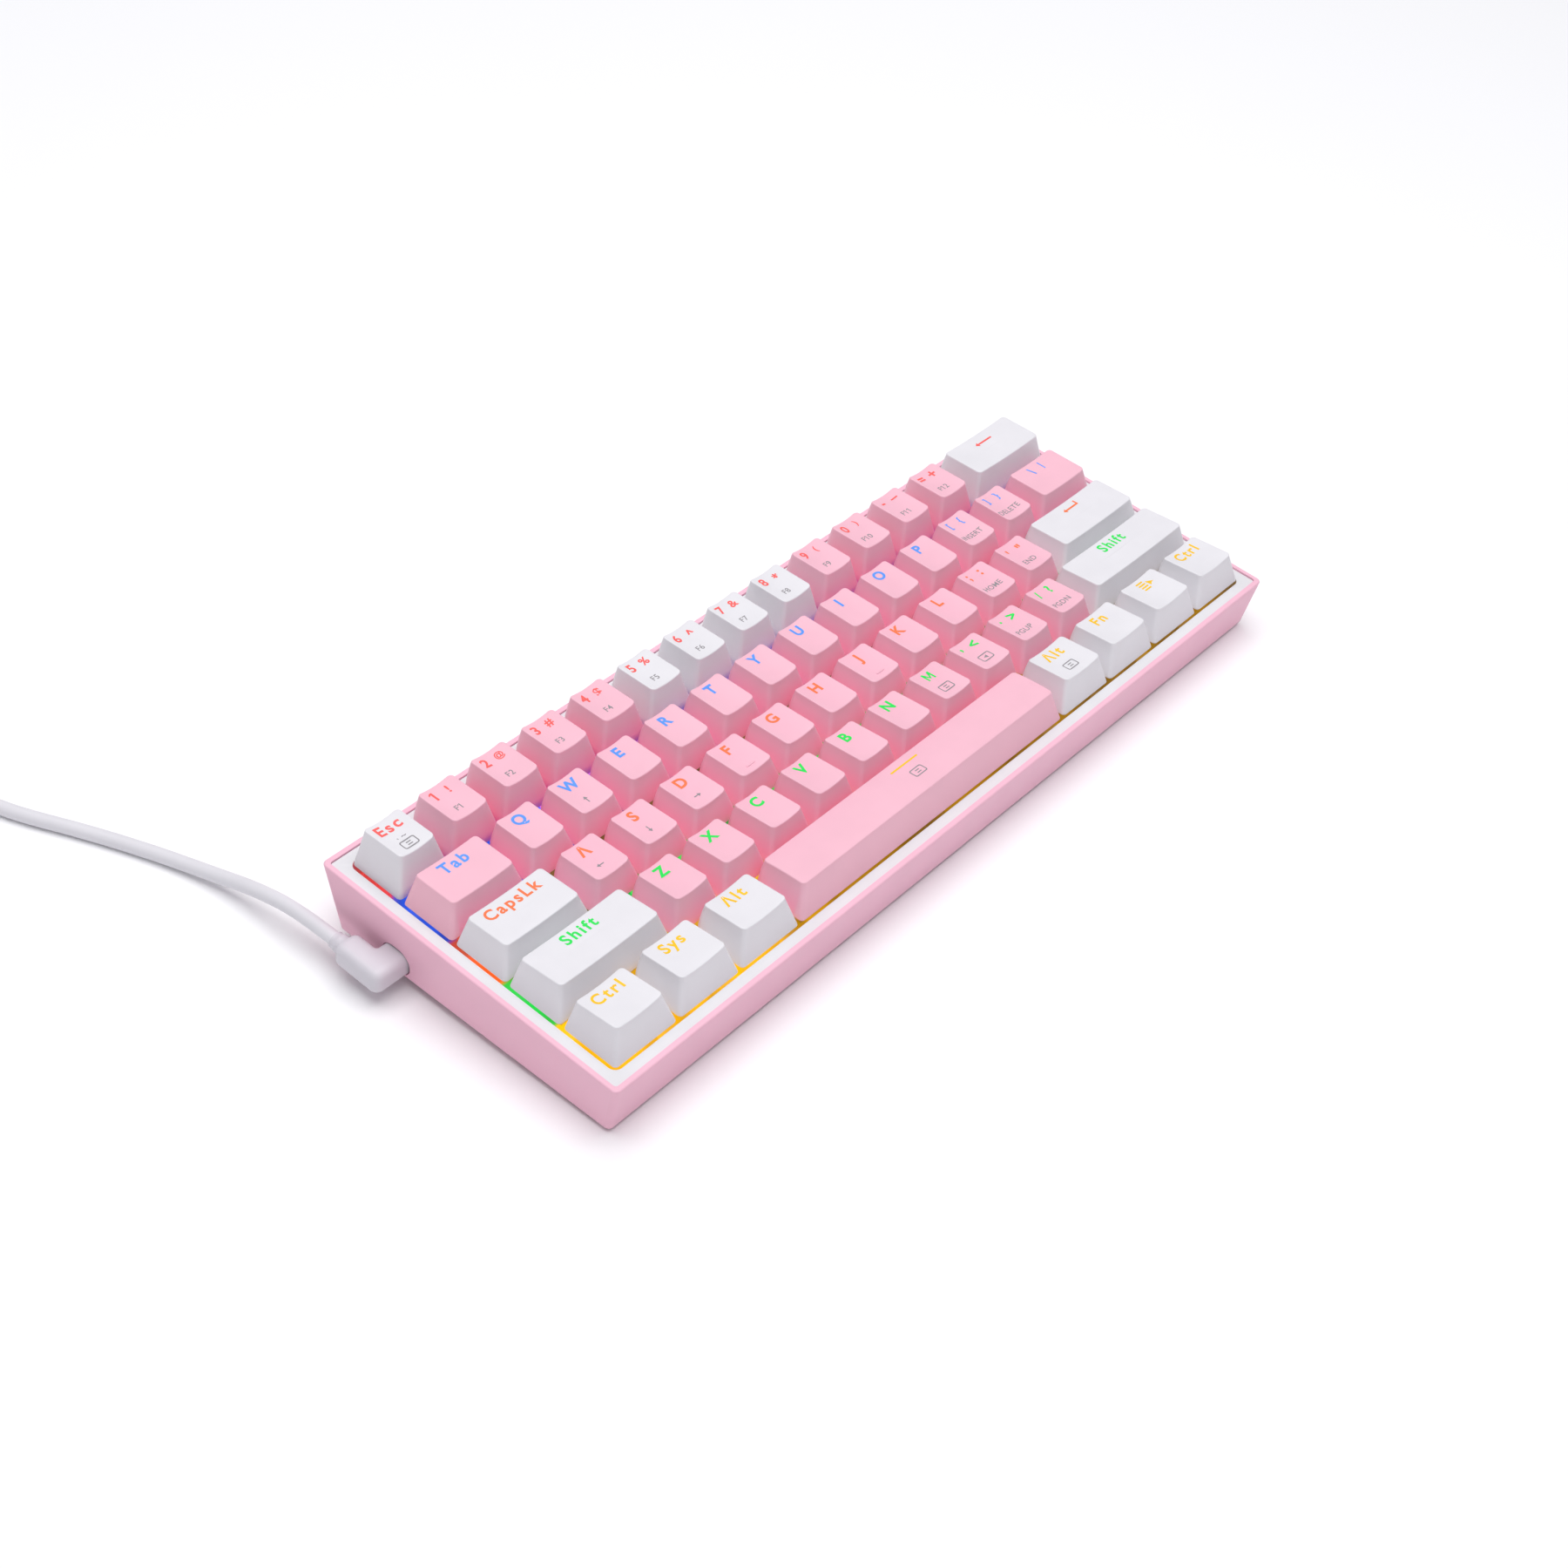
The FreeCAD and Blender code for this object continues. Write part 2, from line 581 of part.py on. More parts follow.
def switch_plate(keys):
    """The plate the switches clip into, with a hole over every screw for the driver."""
    z = PLATE_TOP - PLATE_THICKNESS
    half = (-SWITCH_CUTOUT / 2, SWITCH_CUTOUT / 2)
    holes = [rectangle_at(x, y, half, half, z) for _, _, _, x, y in keys]
    holes += [rectangle_at(x, y, *STABILISER_CUTOUT, z) for x, y, _ in stabiliser_spots(keys)]
    holes += [circle(SCREW_HEAD_RADIUS + 0.4, spot, z) for spot in SCREW_SPOTS]
    outline = rounded_outline(2 * PLATE_HALF[0], 2 * PLATE_HALF[1], 1.0, z=z)
    return sheet_with_holes(outline, holes, PLATE_THICKNESS)


def circuit_board(keys):
    """The circuit board, with holes for pegs, pins, lamps, stabiliser stems and screws."""
    z = BOARD_BOTTOM
    led_x = (-LED_SIZE[0] / 2 - 0.15, LED_SIZE[0] / 2 + 0.15)
    led_y = (LED_Y - LED_SIZE[1] / 2 - 0.1, LED_Y + LED_SIZE[1] / 2 + 0.1)
    holes = []
    for _, _, _, x, y in keys:
        holes.append(circle(PEG_RADIUS + 0.1, (x, y), z))
        holes.append(rectangle_at(x, y, led_x, led_y, z))
        holes += [circle(PIN_RADIUS + 0.2, (x + dx, y + dy), z) for dx, dy, _, _ in CONTACTS]
    holes += [rectangle_at(x, y, *STABILISER_SINK, z) for x, y, _ in stabiliser_spots(keys)]
    holes += [circle(SCREW_RADIUS + 0.17, spot, z) for spot in SCREW_SPOTS]
    left, right, front, back = BOARD_EDGES
    outline = rounded_outline(right - left, back - front, 1.5,
                              ((left + right) / 2, (front + back) / 2), z)
    return sheet_with_holes(outline, holes, BOARD_THICKNESS)


def board_screw():
    """A pan-head screw with a cross recess."""
    head_top = BOARD_TOP + SCREW_HEAD_HEIGHT
    head = rod(SCREW_HEAD_RADIUS, (BOARD_TOP, head_top))
    head = head.makeFillet(0.5, [edge for edge in head.Edges
                                 if edge.BoundBox.ZMin > head_top - 0.1])
    shank = rod(SCREW_RADIUS, (BOARD_TOP - SCREW_LENGTH, BOARD_TOP))
    recess_z = (head_top - 0.7, head_top + 0.1)
    recess = centred_box(2.0, 0.4, recess_z).fuse(centred_box(0.4, 2.0, recess_z))
    return head.fuse(shank).cut(recess).removeSplitter()


def controller_chip():
    """The controller in a flat package on the underside of the circuit board."""
    x, y = CHIP_SPOT
    body = centred_box(CHIP_SIZE, CHIP_SIZE, (BOARD_BOTTOM - 1.4, BOARD_BOTTOM - 0.1), CHIP_SPOT)
    lead_z = (BOARD_BOTTOM - 0.3, BOARD_BOTTOM)
    leads = []
    for i in range(CHIP_LEADS):
        along = (i - (CHIP_LEADS - 1) / 2) * CHIP_LEAD_PITCH
        leads.append(centred_box(CHIP_SPAN, CHIP_LEAD_WIDTH, lead_z, (x, y + along)))
        leads.append(centred_box(CHIP_LEAD_WIDTH, CHIP_SPAN, lead_z, (x + along, y)))
    return fuse_all(body, leads)


# ---- Case ------------------------------------------------------------------------------------

def case_block():
    """The case's outside as one leaning block with rounded edges."""
    (y_front, z_front), (y_back, z_back) = CASE_BOTTOM_FRONT, CASE_BOTTOM_BACK
    bottom = corners_of(case_half_width(z_front), y_front, y_back, z_front, z_back,
                        case_half_width(z_back))
    x_top, y_top = CASE_TOP_HALF
    top = corners_of(x_top, -y_top, y_top, LIP_TOP, LIP_TOP)
    block = round_upright_edges(six_sided(bottom, top), CASE_CORNER_RADIUS)
    underside = min(block.Faces, key=lambda face: face.CenterOfMass.z)
    block = block.makeFillet(CASE_LOWER_EDGE_RADIUS, underside.Edges)
    lip = max(block.Faces, key=lambda face: face.CenterOfMass.z)
    return block.makeFillet(CASE_LIP_RADIUS, lip.Edges)


def case_cavity():
    """The pocket for the frame, the space for the plate, and the tub under it."""
    pocket = rounded_prism(2 * POCKET_HALF[0], 2 * POCKET_HALF[1], 0.9, (SHELF_TOP, 2.0))
    ledge_z = PLATE_TOP - PLATE_THICKNESS
    middle = rounded_prism(2 * CAVITY_HALF[0], 2 * CAVITY_HALF[1], 1.2, (ledge_z, SHELF_TOP))
    front = -CAVITY_HALF[1] + 0.6
    floor_front = case_bottom_z(front) + CASE_FLOOR
    back_low = case_back_y(-19.2) - CASE_WALL
    floor_back = case_bottom_z(back_low) + CASE_FLOOR
    half = CAVITY_HALF[0] - 0.9
    tub = six_sided(corners_of(half, front, back_low, floor_front, floor_back),
                    corners_of(half, front, case_back_y(ledge_z) - CASE_WALL, ledge_z, ledge_z))
    return [pocket, middle, tub]


def foot_prism(spot):
    """A tall bar with the outline of one foot."""
    length, width = FOOT_SIZE
    return rounded_prism(length, width, width / 2 - 0.01, (-40.0, -10.0), spot)


def foot_slab(spot, low_z, high_z):
    """The space between two sloping planes around one foot, each a function of Y."""
    x, y = spot
    y_range = (y - 15.0, y + 15.0)
    low = [(x + dx, yy, low_z(yy)) for yy, dxs in zip(y_range, ((-20, 20), (20, -20)))
           for dx in dxs]
    high = [(px, py, high_z(py)) for px, py, _ in low]
    return six_sided(low, high)


def rubber_foot(spot):
    """A foot cut level with the floor below and seated in its pocket above."""
    slab = foot_slab(spot, floor_z, lambda y: case_bottom_z(y) + FOOT_POCKET)
    return foot_prism(spot).common(slab)


def foot_pocket(spot):
    """The shallow hollow in the case that a foot is glued into."""
    slab = foot_slab(spot, lambda y: case_bottom_z(y) - 5.0,
                     lambda y: case_bottom_z(y) + FOOT_POCKET)
    return foot_prism(spot).common(slab)


def bottom_case():
    """The tray, with screw bosses, pockets for the feet and the way in for the plug."""
    block = case_block()
    tray = block.cut(Part.makeCompound(case_cavity()))
    bosses = [rod(BOSS_RADIUS, (-25.0, BOARD_BOTTOM), spot).common(block)
              for spot in SCREW_SPOTS]
    tray = fuse_all(tray, bosses)
    screw_end = BOARD_TOP - SCREW_LENGTH - 0.2
    cuts = [rod(SCREW_RADIUS + 0.07, (screw_end, BOARD_BOTTOM), spot) for spot in SCREW_SPOTS]
    cuts += [foot_pocket(spot) for spot in FOOT_SPOTS]
    centre = (SOCKET_Y, SOCKET_Z)
    leg_width, leg_height = PLUG_LEG
    cuts.append(rounded_prism_along_x(leg_width + 1.4, leg_height + 1.2, 4.2,
                                      (-155.0, PLUG_LEG_END_X + 0.2), centre))
    cuts.append(rounded_prism_along_x(9.9, 4.1, 2.0, (-150.0, -140.0), centre))
    return tray.cut(Part.makeCompound(cuts))


def top_frame():
    """The bezel round the keys: a rim on the case's shelf and a skirt down to the plate."""
    rim = rounded_prism(2 * (POCKET_HALF[0] - FRAME_FIT), 2 * (POCKET_HALF[1] - FRAME_FIT), 0.7,
                        (SHELF_TOP, FRAME_TOP))
    skirt = rounded_prism(2 * (CAVITY_HALF[0] - FRAME_FIT), 2 * (CAVITY_HALF[1] - FRAME_FIT),
                          1.0, (PLATE_TOP, SHELF_TOP))
    opening = rounded_prism(2 * FRAME_OPENING_HALF[0], 2 * FRAME_OPENING_HALF[1],
                            FRAME_CORNER_RADIUS, (PLATE_TOP - 1.0, FRAME_TOP + 1.0))
    inside = rounded_prism(2 * FRAME_SKIRT_HALF[0], 2 * FRAME_SKIRT_HALF[1],
                           FRAME_CORNER_RADIUS, (PLATE_TOP - 1.0, FRAME_TOP - FRAME_RIM_HEIGHT))
    frame = rim.fuse(skirt).removeSplitter().cut(opening.fuse(inside))
    top = max(frame.Faces, key=lambda face: face.CenterOfMass.z)
    return frame.makeFillet(FRAME_EDGE_RADIUS, top.Edges)


# ---- Socket, plug and cable ------------------------------------------------------------------

def usb_socket():
    """The reversible socket under the circuit board: a metal shell round a tongue."""
    length, width, height = SOCKET_SIZE
    centre = (SOCKET_Y, SOCKET_Z)
    back_x = SOCKET_MOUTH_X + length
    shell = rounded_prism_along_x(width, height, 1.5, (SOCKET_MOUTH_X, back_x), centre)
    hollow = rounded_prism_along_x(width - 0.6, height - 0.6, 1.25,
                                   (SOCKET_MOUTH_X, back_x - 0.6), centre)
    tongue = box((SOCKET_MOUTH_X + 1.0, back_x - 0.3),
                 (SOCKET_Y - 3.3, SOCKET_Y + 3.3), (SOCKET_Z - 0.35, SOCKET_Z + 0.35))
    return shell.cut(hollow).fuse(tongue).removeSplitter()


def usb_c_plug():
    """The angled plug: moulded body and leg, strain relief, and the metal tip."""
    centre = (SOCKET_Y, SOCKET_Z)
    body = box(PLUG_X, PLUG_Y, (SOCKET_Z - PLUG_HALF_HEIGHT, SOCKET_Z + PLUG_HALF_HEIGHT))
    body = body.makeFillet(1.6, [edge for edge in body.Edges
                                 if edge.CenterOfMass.x < cable_x() + 0.1])
    leg = rounded_prism_along_x(PLUG_LEG[0], PLUG_LEG[1] - 0.4, 3.5,
                                (PLUG_LEG_END_X, PLUG_X[1] - 2.0), centre)
    relief = Part.makeCylinder(RELIEF_RADIUS, RELIEF_LENGTH,
                               Vector(cable_x(), PLUG_Y[1], SOCKET_Z), Vector(0, 1, 0))
    tip = rounded_prism_along_x(*PLUG_TIP, 1.15, (PLUG_TIP_END_X, PLUG_LEG_END_X), centre)
    hollow = rounded_prism_along_x(*PLUG_TIP_HOLLOW, 0.75,
                                   (PLUG_LEG_END_X + 0.8, PLUG_TIP_END_X), centre)
    return [fuse_all(body, [leg, relief]), tip.cut(hollow)]


def cable_x():
    """X of the cable's middle where it leaves the plug."""
    return sum(PLUG_X) / 2


def route_path(points):
    """Straight runs joined by tangent arcs; returns the wire, its arc radii and run lengths."""
    points = [Vector(*point) for point in points]
    edges = []
    radii = []
    start = points[0]
    for before, corner, after in zip(points, points[1:], points[2:]):
        back = before - corner
        ahead = after - corner
        turn = math.pi - back.getAngle(ahead)
        trim = 0.45 * min(back.Length, ahead.Length)
        radius = trim / math.tan(turn / 2)
        radii.append(radius)
        arc_start = corner + back * (trim / back.Length)
        arc_end = corner + ahead * (trim / ahead.Length)
        bisector = (back.normalize() + ahead.normalize()).normalize()
        middle = corner + bisector * (radius / math.cos(turn / 2) - radius)
        edges.append(Part.LineSegment(start, arc_start).toShape())
        edges.append(Part.Arc(arc_start, middle, arc_end).toShape())
        start = arc_end
    edges.append(Part.LineSegment(start, points[-1]).toShape())
    runs = [(b - a).Length for a, b in zip(points, points[1:])]
    return Part.Wire(edges), radii, runs


def usb_cable(route):
    """The stretch of cable between the plug and the coil."""
    path, radii, runs = route_path(route)
    direction = Vector(*route[1]) - Vector(*route[0])
    section = Part.Wire(Part.makeCircle(CABLE_DIAMETER / 2, Vector(*route[0]), direction))
    tube = path.makePipeShell([section], True, False)
    area = math.pi * CABLE_DIAMETER ** 2 / 4
    print("cable runs", [round(run, 1) for run in runs])
    print("cable radii", [round(radius, 1) for radius in radii])
    print("cable tube length %.1f, volume %.1f, section times length %.1f"
          % (path.Length, tube.Volume, area * path.Length))
    return tube


def cable_coil():
    """The cable's spare length, as one ring with the outer shape of the coil."""
    half = COIL_LAYERS * CABLE_DIAMETER / 2
    x, y = COIL_CENTRE
    ring_face = Part.Face(rounded_outline(2 * half, 2 * half, COIL_EDGE_RADIUS))
    ring_face.rotate(Vector(0, 0, 0), Vector(1, 0, 0), 90)
    ring_face.translate(Vector(COIL_MIDDLE_RADIUS, 0, COIL_BOTTOM + half))
    ring = ring_face.revolve(Vector(0, 0, 0), Vector(0, 0, 1), 360)
    return ring.translated(Vector(x, y, 0))


def usb_a_plug():
    """The plug for the computer, lying on the coil: moulded grip and metal shell."""
    width = (-GRIP_HALF_WIDTH, GRIP_HALF_WIDTH)
    relief_radius, relief_length = USB_A_RELIEF
    grip_back = -relief_length
    grip_front = grip_back - GRIP_LENGTH
    grip = box(width, (grip_front, grip_back), (0.0, GRIP_HEIGHT))
    grip = grip.makeFillet(1.4, [edge for edge in grip.Edges if edge.Length > 20])
    relief = Part.makeCylinder(relief_radius, relief_length,
                               Vector(0, grip_back, GRIP_HEIGHT / 2), Vector(0, 1, 0))
    grip = grip.fuse(relief).removeSplitter()
    low = (GRIP_HEIGHT - SHELL_HEIGHT) / 2
    high = low + SHELL_HEIGHT
    tip = grip_front - SHELL_LENGTH
    floor_y = grip_front - 1.0
    inner = (-GRIP_HALF_WIDTH + SHELL_WALL, GRIP_HALF_WIDTH - SHELL_WALL)
    shell = box(width, (tip, grip_front), (low, high))
    hollow = box(inner, (tip, floor_y), (low + SHELL_WALL, high - SHELL_WALL))
    tongue = box([0.96 * edge for edge in inner], (tip + 0.5, floor_y),
                 (high - SHELL_WALL - TONGUE_HEIGHT, high - SHELL_WALL))
    metal = shell.cut(hollow).fuse(tongue).removeSplitter()
    place = Vector(COIL_CENTRE[0] + USB_A_X, COIL_CENTRE[1] + USB_A_RELIEF_END,
                   COIL_BOTTOM + COIL_LAYERS * CABLE_DIAMETER)
    return [solid.translated(place) for solid in (grip, metal)]


# ---- Assembly --------------------------------------------------------------------------------

def static_nodes(keys):
    """Every piece that stays with the case, drawn in the board frame."""
    spots = [(x, y, 0.0) for _, _, _, x, y in keys]
    contacts = [contact_leaf(*contact) for contact in CONTACTS]
    housings = [stabiliser_housing(-side).translated(Vector(x, y, 0))
                for x, y, side in stabiliser_spots(keys)]
    return {
        "bottom_case": [bottom_case()],
        "top_frame": [top_frame()],
        "switch_plate": [switch_plate(keys)],
        "circuit_board": [circuit_board(keys)],
        "switch_housings": copies_at(switch_base(), spots) + copies_at(switch_cover(), spots),
        "switch_springs": copies_at(switch_spring(), spots),
        "switch_contacts": [leaf for contact in contacts for leaf in copies_at(contact, spots)],
        "backlight_leds": copies_at(backlight_led(), spots),
        "stabiliser_housings": housings,
        "circuit_board_screws": copies_at(board_screw(), [(x, y, 0) for x, y in SCREW_SPOTS]),
        "rubber_feet": [rubber_foot(spot) for spot in FOOT_SPOTS],
        "usb_socket": [usb_socket()],
        "controller_chip": [controller_chip()],
    }


def moving_nodes(keys):
    """The keys and the stabiliser wires, drawn in the board frame."""
    nodes = {}
    stem = switch_stem()
    side_stem = stabiliser_stem()
    caps = {}
    for key in keys:
        name = key[0]
        nodes.setdefault(node_of_key(name), []).extend(key_solids(key, stem, side_stem, caps))
        if name in STABILISED_KEYS:
            wire = stabiliser_wire(STABILISED_KEYS[name]).translated(Vector(key[3], key[4], 0))
            nodes["stabiliser_wire_" + name] = [wire]
    return nodes


def build():
    """Every node's solids, placed in the floor frame."""
    keys = key_places()
    placement = board_to_floor()
    nodes = static_nodes(keys)
    nodes.update(moving_nodes(keys))
    nodes["usb_c_plug"] = usb_c_plug()
    placed = {}
    for name, solids in nodes.items():
        placed[name] = []
        for solid in solids:
            moved = solid.copy()
            moved.Placement = placement.multiply(moved.Placement)
            placed[name].append(moved)
    relief_end = placement.multVec(Vector(cable_x(), PLUG_Y[1] + RELIEF_LENGTH, SOCKET_Z))
    route = [tuple(relief_end)] + CABLE_ROUTE
    placed["usb_cable"] = [usb_cable(route)]
    placed["usb_cable_coil"] = [cable_coil()]
    placed["usb_a_plug"] = usb_a_plug()
    return placed


os.makedirs("parts", exist_ok=True)
for node_name, node_solids in build().items():
    shape = node_solids[0] if len(node_solids) == 1 else Part.makeCompound(node_solids)
    shape.exportStep("parts/%s.step" % node_name)
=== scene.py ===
import math

import bmesh
import bpy
from mathutils import Matrix, Vector


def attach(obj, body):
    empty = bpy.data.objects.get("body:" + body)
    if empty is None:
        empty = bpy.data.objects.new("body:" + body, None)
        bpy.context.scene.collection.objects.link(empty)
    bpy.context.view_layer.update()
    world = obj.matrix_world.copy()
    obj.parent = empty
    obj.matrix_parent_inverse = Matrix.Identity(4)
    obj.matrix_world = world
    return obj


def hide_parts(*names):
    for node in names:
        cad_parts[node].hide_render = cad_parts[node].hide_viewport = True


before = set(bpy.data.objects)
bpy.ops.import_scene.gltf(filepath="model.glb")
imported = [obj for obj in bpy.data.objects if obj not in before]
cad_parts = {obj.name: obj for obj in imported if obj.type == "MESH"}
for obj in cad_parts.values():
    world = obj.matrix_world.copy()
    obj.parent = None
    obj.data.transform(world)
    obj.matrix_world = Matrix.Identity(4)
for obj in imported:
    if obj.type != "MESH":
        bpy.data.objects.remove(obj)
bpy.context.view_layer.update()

# Looks of a sixty-one-key mechanical keyboard with its cable, in metres. The keyboard is laid out in
# the board frame, whose XY plane is that of the keycaps' lower edges: X to the right, Y to the
# back. BOARD_TO_FLOOR tilts it to the typing angle, as the CAD does. The cable lies in floor
# coordinates, and only its angled plug is in the board frame.

MM = 0.001

# ---- Dimensions ----

TYPING_ANGLE = math.radians(4.0)
BOARD_ORIGIN = Vector((0.0, 0.0209, 21.625)) * MM
BOARD_TO_FLOOR = Matrix.Translation(BOARD_ORIGIN) @ Matrix.Rotation(TYPING_ANGLE, 4, "X")

PITCH = 19.05 * MM
FIELD_WIDTH = 15 * PITCH
FIELD_LEFT = -FIELD_WIDTH / 2

# Keycaps
CAP_GAP = 0.95 * MM
CAP_TOP_INSET = 2.95 * MM
CAP_TOP_DEPTH = 14.2 * MM
CAP_CORNER_RADIUS = 1.3 * MM
CAP_TOP_CORNER_RADIUS = 1.35 * MM
CAP_ROUNDER_BACK = 3.0 * MM     # added to the back corners' radius, except at the left end
CAP_EDGE_RADIUS = 0.45 * MM
CAP_DISH = 0.9 * MM
WIDE_CAP_DISH = 0.5 * MM
CAP_WALL = 1.35 * MM
CAP_CEILING = 2.2 * MM
SPACE_CROWN = 0.25 * MM
SKIRT_EDGE = 0.15 * MM          # softening of the skirt's lower edge outside
SKIRT_INNER_EDGE = 0.2 * MM
FLAT_TOP_UNITS = 6              # widths from which a cap is crowned and not dished
WIDE_CAP_UNITS = 1.5
POST_RADIUS = 2.75 * MM
HOMING_BAR_Y = -4.6 * MM
HOMING_BAR_HALF = (1.7 * MM, 0.32 * MM)
STABILISER_SPREAD = {"backspace": 11.938 * MM, "enter": 11.938 * MM, "left_shift": 11.938 * MM,
                     "right_shift": 11.938 * MM, "space": 50.0 * MM}

# Blocks of the stems, in mm: Y of the middle, half width, half depth, lowest and highest Z, bevel
CROSS = [(0.0, 2.05, 0.65, -0.6, 3.1, 0.15), (0.0, 0.6, 2.05, -0.6, 3.1, 0.15)]
SWITCH_STEM = [(0.0, 3.3, 2.7, -2.1, -0.5, 0.25), (0.0, 3.6, 3.5, -5.2, -2.0, 0.3),
               (0.0, 1.0, 1.0, -7.9, -5.1, 0.45)]
SIDE_STEM = [(0.0, 2.0, 2.6, -6.35, -0.5, 0.25), (-1.45, 2.0, 1.15, -10.6, -6.3, 0.25)]

# Each row: Y in units, height of the top's front edge, of its back edge, and the top's shift back.
ROW_PROFILES = {
    "number_row": (2, 11.9 * MM, 11.4 * MM, 1.25 * MM),
    "top_row": (1, 9.75 * MM, 9.4 * MM, 1.05 * MM),
    "home_row": (0, 9.25 * MM, 8.4 * MM, 1.2 * MM),
    "lower_row": (-1, 10.1 * MM, 8.5 * MM, 1.3 * MM),
    "space_row": (-2, 10.1 * MM, 8.5 * MM, 1.5 * MM),
}


def letters(names):
    """Keys with one letter and no second legend."""
    return [(name, 1, name.upper(), "") for name in names]


# Keys from left to right: name, width in units, main legend, second legend. A legend in
# angle brackets is a drawn sign.
KEY_ROWS = {
    "number_row": [
        ("escape", 1, "Esc", "<escape>"),
        *[("digit_" + figure, 1, figure + " " + sign, "F%d" % (i + 1))
          for i, (figure, sign) in enumerate(zip("1234567890", "!@#$%^&*()"))],
        ("minus", 1, "- _", "F11"), ("equals", 1, "= +", "F12"), ("backspace", 2, "<back>", ""),
    ],
    "top_row": [
        ("tab", 1.5, "Tab", ""), ("q", 1, "Q", ""), ("w", 1, "W", "<up>"), *letters("ertyuiop"),
        ("left_bracket", 1, "[ {", "INSERT"), ("right_bracket", 1, "] }", "DELETE"),
        ("backslash", 1.5, "\\ |", ""),
    ],
    "home_row": [
        ("caps_lock", 1.75, "CapsLk", ""), ("a", 1, "\u039b", "<left>"), ("s", 1, "S", "<down>"),
        ("d", 1, "D", "<right>"), ("f", 1, "F", "<bar>"), *letters("gh"), ("j", 1, "J", "<bar>"),
        *letters("kl"), ("semicolon", 1, "; :", "HOME"), ("quote", 1, "' \"", "END"),
        ("enter", 2.25, "<return>", ""),
    ],
    "lower_row": [
        ("left_shift", 2.25, "Shift", ""), *letters("zxcvbn"), ("m", 1, "M", "<box>"),
        ("comma", 1, ", <", "<pointer box>"), ("full_stop", 1, ". >", "PGUP"),
        ("slash", 1, "/ ?", "PGDN"), ("right_shift", 2.75, "Shift", ""),
    ],
    "space_row": [
        ("left_ctrl", 1.25, "Ctrl", ""), ("left_super", 1.25, "Sys", ""),
        ("left_alt", 1.25, "\u039blt", ""), ("space", 6.25, "<long bar>", "<space box>"),
        ("right_alt", 1.25, "\u039blt", "<box>"), ("fn", 1.25, "Fn", ""),
        ("menu", 1.25, "<menu>", ""), ("right_ctrl", 1.25, "Ctrl", ""),
    ],
}
WHITE_KEYS = {"escape", "digit_5", "digit_6", "digit_7", "digit_8", "backspace", "caps_lock",
              "enter", "left_shift", "right_shift", "left_ctrl", "left_super", "left_alt",
              "right_alt", "fn", "menu", "right_ctrl"}
# Letters and these keys have a CAD node of their own, and the rest share one for each colour.
SINGLE_KEYS = {"escape", "backspace", "tab", "caps_lock", "enter", "left_shift", "right_shift",
               "space", "left_ctrl", "left_alt"}
SHARED_NODES = {"key_pink": "pink_number_and_symbol_keys",
                "key_white": "white_number_and_modifier_keys"}

# Legends, placed from the middle of the cap's top
PRINT_LIFT = 0.03 * MM
MAIN_SPACING = 1.25
SECOND_SPACING = 1.08
MAIN_WEIGHT = 0.026             # added to the font's strokes, as a share of its size
LETTER_WEIGHT = 0.034
SECOND_WEIGHT = 0.008
MAIN_HEIGHT = 3.5 * MM
MAIN_X = -0.4 * MM
MAIN_Y = 3.7 * MM
PAIR_X = (-3.3 * MM, 1.9 * MM)  # the two symbols of one key
SHIFTED_SHARE = 0.85            # size of the second symbol beside a figure
SECOND_HEIGHT = 1.9 * MM
SECOND_X = -0.9 * MM
SECOND_Y = -3.2 * MM
BAR_LENGTH = 11.6 * MM
BAR_HALF_WIDTH = 0.3 * MM
LINE_WIDTH = 0.65 * MM
THIN_LINE = 0.34 * MM
BOX_SIZE = (5.0 * MM, 3.1 * MM)
SMALL_ARROW = (2.5 * MM, 1.0 * MM, THIN_LINE)

# Painted shade low between the caps, and the light of the lamps under the keys
OUTER_SKIRT = 3.2 * MM          # depth of the slope of the outermost skirts
OUTER_SKIRT_BLEND = 1.0 * MM
PAINTED_GAP_SHADE_HEIGHT = 9.0 * MM          # how far up the skirts the painted shade's deeper pink goes
BAND_SHIFT = 5.5 * MM           # how far behind the row gaps the lamps' colours change
BAND_BLEND = 0.008              # half the change's width, as a share of the depth of all rows
INNER_FROM = (0.2 * PITCH, 0.8 * PITCH)     # from the left end, where INNER_LIGHT takes over
SPACE_LEFT = FIELD_LEFT + 3 * 1.25 * PITCH
SPACE_FADE = 1.5 * PITCH        # the front row's light fades over this much of the space key
SPACE_LIGHT = 0.3               # what is left of it there
FRONT_ROW_Y = (-1.6 * PITCH, -1.2 * PITCH)  # where the fading front row meets the lit rows

# Plug, cable and coil, in the same places as in the CAD
SOCKET_Y = 25.0 * MM
SOCKET_Z = -15.13 * MM
PLUG_X = (-158.0 * MM, -149.9 * MM)
PLUG_Y = (20.7 * MM, 37.2 * MM)
PLUG_CABLE_X = sum(PLUG_X) / 2
PLUG_HALF_HEIGHT = 3.8 * MM
PLUG_LEG_HALF = 4.4 * MM
PLUG_LEG_END_X = -145.8 * MM
PLUG_TIP_END_X = -137.4 * MM
PLUG_EDGE = 2.3 * MM
PLUG_EDGE_STEPS = 6
TIP_DEPTH = 5.5 * MM
RELIEF_LENGTH = 3.2 * MM
CABLE_DIAMETER = 4.2 * MM
CABLE_ROUTE = [
    (-0.15395, 0.0540, 0.0103),
    (-0.1544, 0.0710, 0.0074),
    (-0.1564, 0.0880, 0.0034),
    (-0.1612, 0.1060, 0.0023),
    (-0.1689, 0.1260, 0.0023),
    (-0.1790, 0.1480, 0.0023),
    (-0.1830, 0.1680, 0.0023),
    (-0.1833, 0.1840, 0.0023),
]
COIL_CENTRE = Vector((-210.5, 184.0)) * MM
COIL_MIDDLE_RADIUS = 23.0 * MM
COIL_LAYERS = 3
